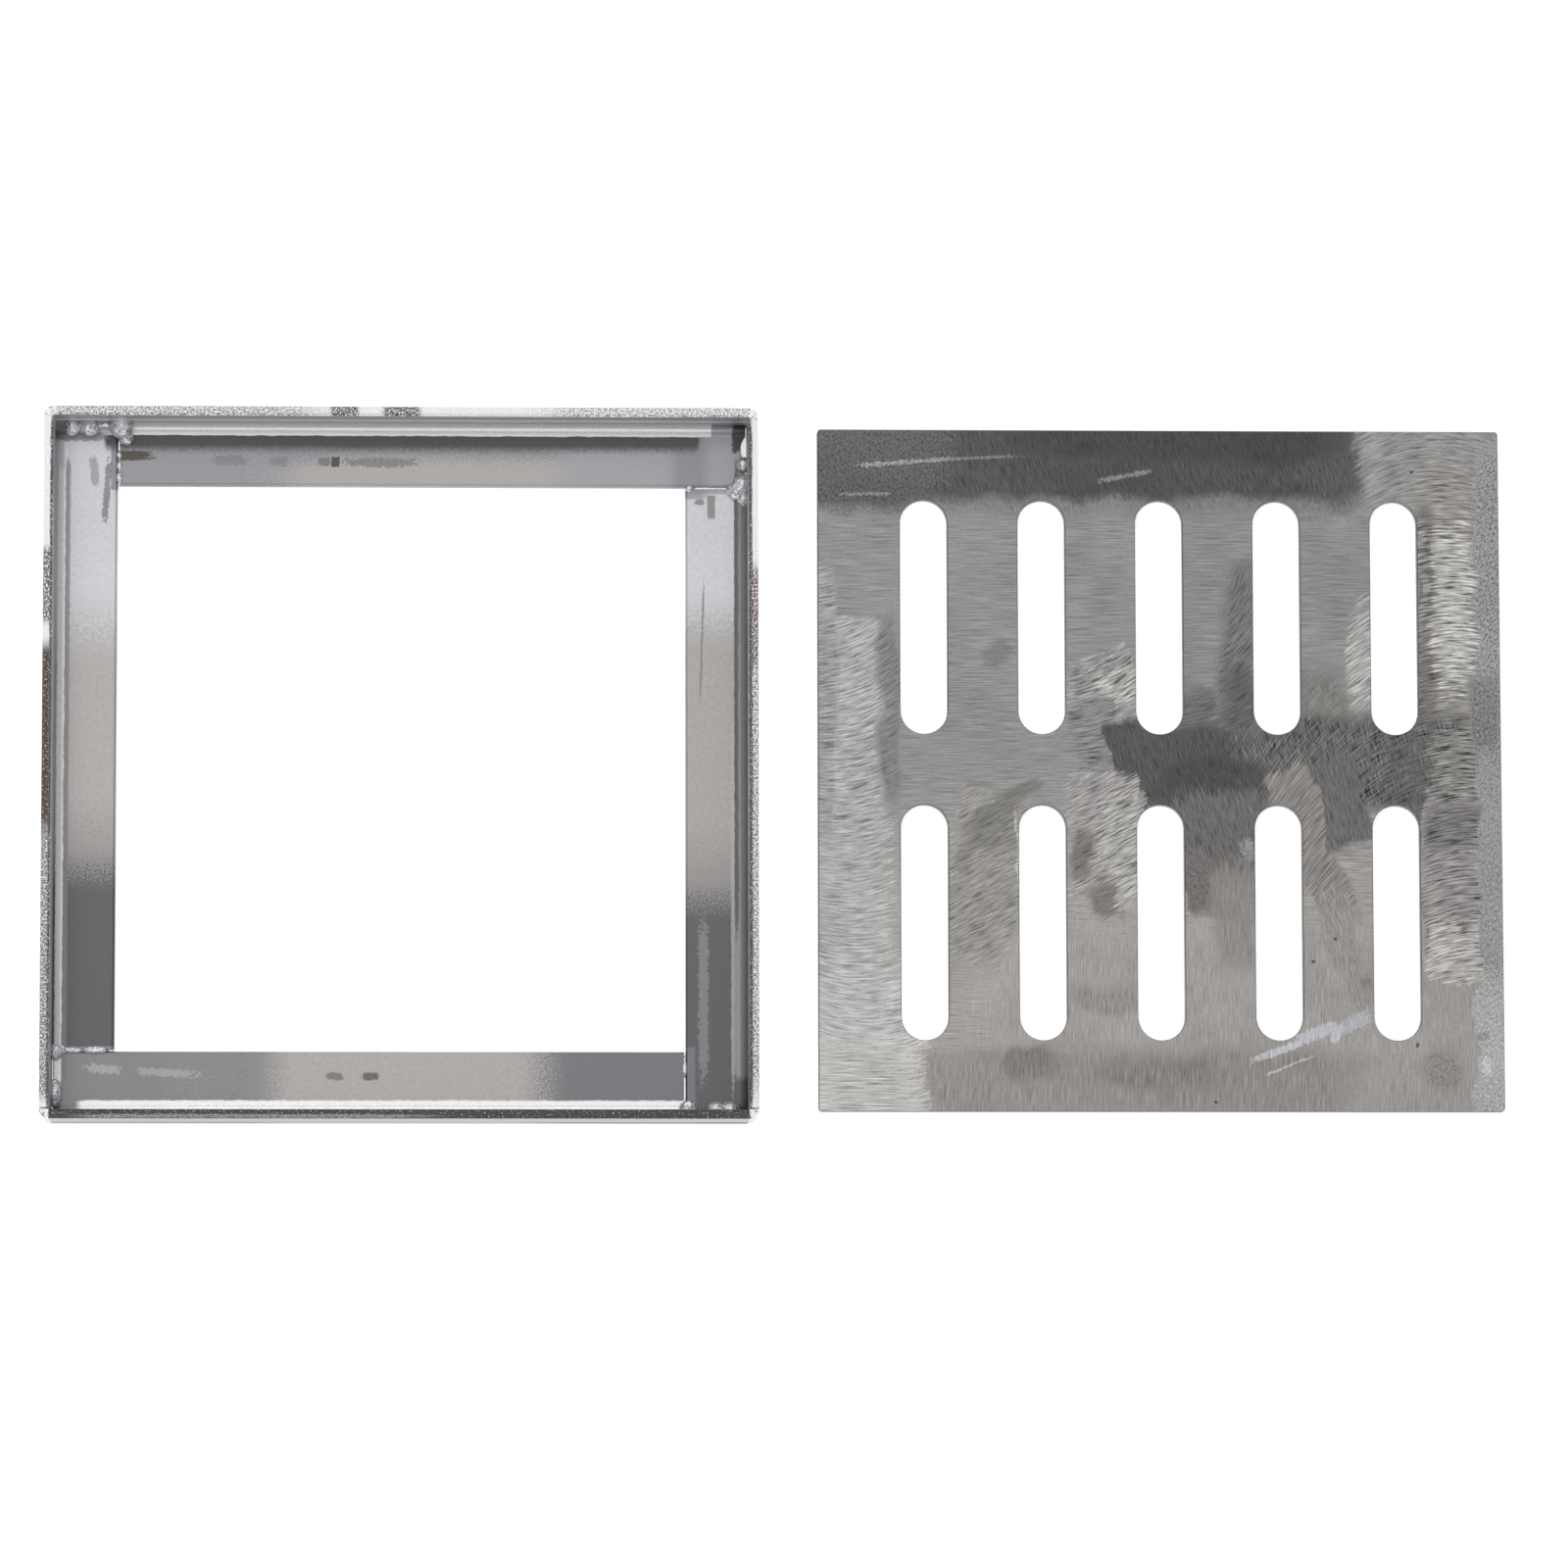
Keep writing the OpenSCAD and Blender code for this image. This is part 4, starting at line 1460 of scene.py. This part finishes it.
@dataclass
class Studio:
    """Pale floor, soft light and the camera, almost straight above.

    The camera looks at aim, leans to the front and to the left, and frames the object at so many
    pixels of the photograph to a millimetre. floor_glow is how bright the floor itself shines to
    the camera and in reflections.
    """

    aim: Point = (3.8, -6.0)
    distance: float = 3500.0
    tilt_front: float = 6.4
    tilt_left: float = 2.25
    roll: float = -0.12
    pixels_per_mm: float = 2.412
    photo_side: float = 1600.0
    sensor: float = 36.0
    far: float = 50.0
    floor_side: float = 12000.0
    floor_tone: Colour = display(236, 236, 236)
    floor_roughness: float = 0.9
    floor_glow: float = 0.62
    sky_tone: Colour = (0.97, 0.985, 1.0, 1.0)
    sky_light: float = 0.48
    bounces: int = 3
    lamps: tuple[Lamp, ...] = (
        Lamp("overhead", (-0.5, 0.4, 2.6), (2.6, 2.6), 21.0),
        Lamp("front_strip", (-0.1, -2.4, 1.1), (2.4, 0.5), 12.0),
        Lamp("back_strip", (-0.1, 2.4, 1.1), (2.4, 0.5), 12.0),
    )

    def build(self) -> None:
        """Builds the camera, the floor, the world and the lamps."""
        self.build_camera()
        self.build_floor()
        self.build_world()
        for lamp in self.lamps:
            self.hang(lamp)
        bpy.context.scene.cycles.max_bounces = self.bounces

    def build_camera(self) -> None:
        """Sets the camera at the photograph's angle, framed as the photograph is."""
        data = bpy.data.cameras.new("camera")
        data.sensor_width = self.sensor
        data.lens = self.pixels_per_mm * self.distance / self.photo_side * self.sensor
        data.clip_end = self.far
        camera = bpy.data.objects.new("camera", data)
        bpy.context.scene.collection.objects.link(camera)
        turn = (
            Matrix.Rotation(math.radians(self.roll), 4, "Z")
            @ Matrix.Rotation(math.radians(-self.tilt_left), 4, "Y")
            @ Matrix.Rotation(math.radians(self.tilt_front), 4, "X")
        )
        aim = Matrix.Translation((self.aim[0] * MM, self.aim[1] * MM, 0))
        camera.matrix_world = aim @ turn @ Matrix.Translation((0, 0, self.distance * MM))
        bpy.context.scene.camera = camera

    def build_floor(self) -> None:
        """Lays a floor that looks white to the camera and keeps the object's shadow."""
        select_none()
        bpy.ops.mesh.primitive_plane_add(size=self.floor_side * MM)
        floor = bpy.context.object
        floor.name = "floor"
        make = FinishBuilder("floor")
        make.shader.inputs["Base Color"].default_value = self.floor_tone
        make.shader.inputs["Roughness"].default_value = self.floor_roughness
        make.shader.inputs["Specular IOR Level"].default_value = 0.0
        path = make.node("ShaderNodeLightPath")
        seen = make.math("MAXIMUM", path.outputs["Is Camera Ray"], path.outputs["Is Glossy Ray"])
        glow = make.math("MULTIPLY", seen, self.floor_glow)
        make.shader.inputs["Emission Color"].default_value = (1, 1, 1, 1)
        make.feed(make.shader.inputs["Emission Strength"], glow)
        floor.data.materials.append(make.material)

    def build_world(self) -> None:
        """Fills the world with even light, white where the camera sees it."""
        world = bpy.data.worlds.new("studio")
        world.use_nodes = True
        tree = world.node_tree
        tree.nodes.clear()
        out = tree.nodes.new("ShaderNodeOutputWorld")
        path = tree.nodes.new("ShaderNodeLightPath")
        lit = tree.nodes.new("ShaderNodeBackground")
        lit.inputs["Color"].default_value = self.sky_tone
        lit.inputs["Strength"].default_value = self.sky_light
        seen = tree.nodes.new("ShaderNodeBackground")
        seen.inputs["Color"].default_value = (1, 1, 1, 1)
        mix = tree.nodes.new("ShaderNodeMixShader")
        tree.links.new(path.outputs["Is Camera Ray"], mix.inputs[0])
        tree.links.new(lit.outputs[0], mix.inputs[1])
        tree.links.new(seen.outputs[0], mix.inputs[2])
        tree.links.new(mix.outputs[0], out.inputs["Surface"])
        bpy.context.scene.world = world

    def hang(self, lamp: Lamp) -> None:
        """Hangs one lamp that faces the object.

        Args:
            lamp: The lamp.
        """
        data = bpy.data.lights.new(lamp.name, "AREA")
        data.shape = "RECTANGLE"
        data.size, data.size_y = lamp.size
        data.energy = lamp.watts
        made = bpy.data.objects.new(lamp.name, data)
        made.location = lamp.place
        made.rotation_euler = (-Vector(lamp.place)).to_track_quat("-Z", "Y").to_euler()
        bpy.context.scene.collection.objects.link(made)


def select_none() -> None:
    """Leaves every object unselected, because operators act on all that is selected."""
    if bpy.context.object is not None and bpy.context.object.mode != "OBJECT":
        bpy.ops.object.mode_set(mode="OBJECT")
    for other in bpy.context.view_layer.objects:
        other.select_set(False)


def select_only(piece: bpy.types.Object) -> None:
    """Selects one object and makes it the active one.

    Args:
        piece: The object.
    """
    select_none()
    piece.select_set(True)
    bpy.context.view_layer.objects.active = piece


def apply_modifier(piece: bpy.types.Object, modifier: bpy.types.Modifier) -> None:
    """Writes a modifier's result into the mesh.

    Args:
        piece: The object.
        modifier: One of its modifiers.
    """
    select_only(piece)
    bpy.ops.object.modifier_apply(modifier=modifier.name)


def join(pieces: Sequence[bpy.types.Object], name: str) -> bpy.types.Object:
    """Joins objects into one and writes their place into the mesh.

    Args:
        pieces: The objects.
        name: Name of the result.

    Returns:
        The joined object, at the origin, unturned and unscaled.
    """
    for piece in pieces:
        select_only(piece)
        bpy.ops.object.transform_apply(location=True, rotation=True, scale=True)
    select_none()
    for piece in pieces:
        piece.select_set(True)
    bpy.context.view_layer.objects.active = pieces[0]
    if len(pieces) > 1:
        bpy.ops.object.join()
    made = bpy.context.object
    made.name = name
    made.data.name = name
    return made


def dress(node: str, finish: bpy.types.Material) -> None:
    """Gives a node its material.

    Args:
        node: Name of the node.
        finish: The material.
    """
    piece = frame["nodes"][node]
    piece.data.materials.clear()
    piece.data.materials.append(finish)
    LOG.info("%s dressed in %s", node, finish.name)


def finish_piece(
    piece: bpy.types.Object, finish: Optional[bpy.types.Material], node: str
) -> None:
    """Dresses a new piece and lets it stand for a node.

    Args:
        piece: The new piece.
        finish: Its material, or nothing for a piece that has its materials already.
        node: The node that it stands for.
    """
    if finish is not None:
        piece.data.materials.clear()
        piece.data.materials.append(finish)
    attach(piece, BODY)
    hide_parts(node)
    LOG.info("%s stands for %s with %d faces", piece.name, node, len(piece.data.polygons))


def main() -> None:
    """Builds the studio, the frame and the cover, in this order."""
    logging.basicConfig(level=logging.INFO, format="%(message)s")
    bpy.context.scene.view_settings.view_transform = "Standard"
    LOG.info("Studio")
    Studio().build()
    LOG.info("Angle frame with its welds")
    AngleFrame().build(SilverSpray(), WeldMetal().build())
    LOG.info("Cover plate")
    CoverPlate().build(GroundSteel())


if __name__ == "__main__":
    main()
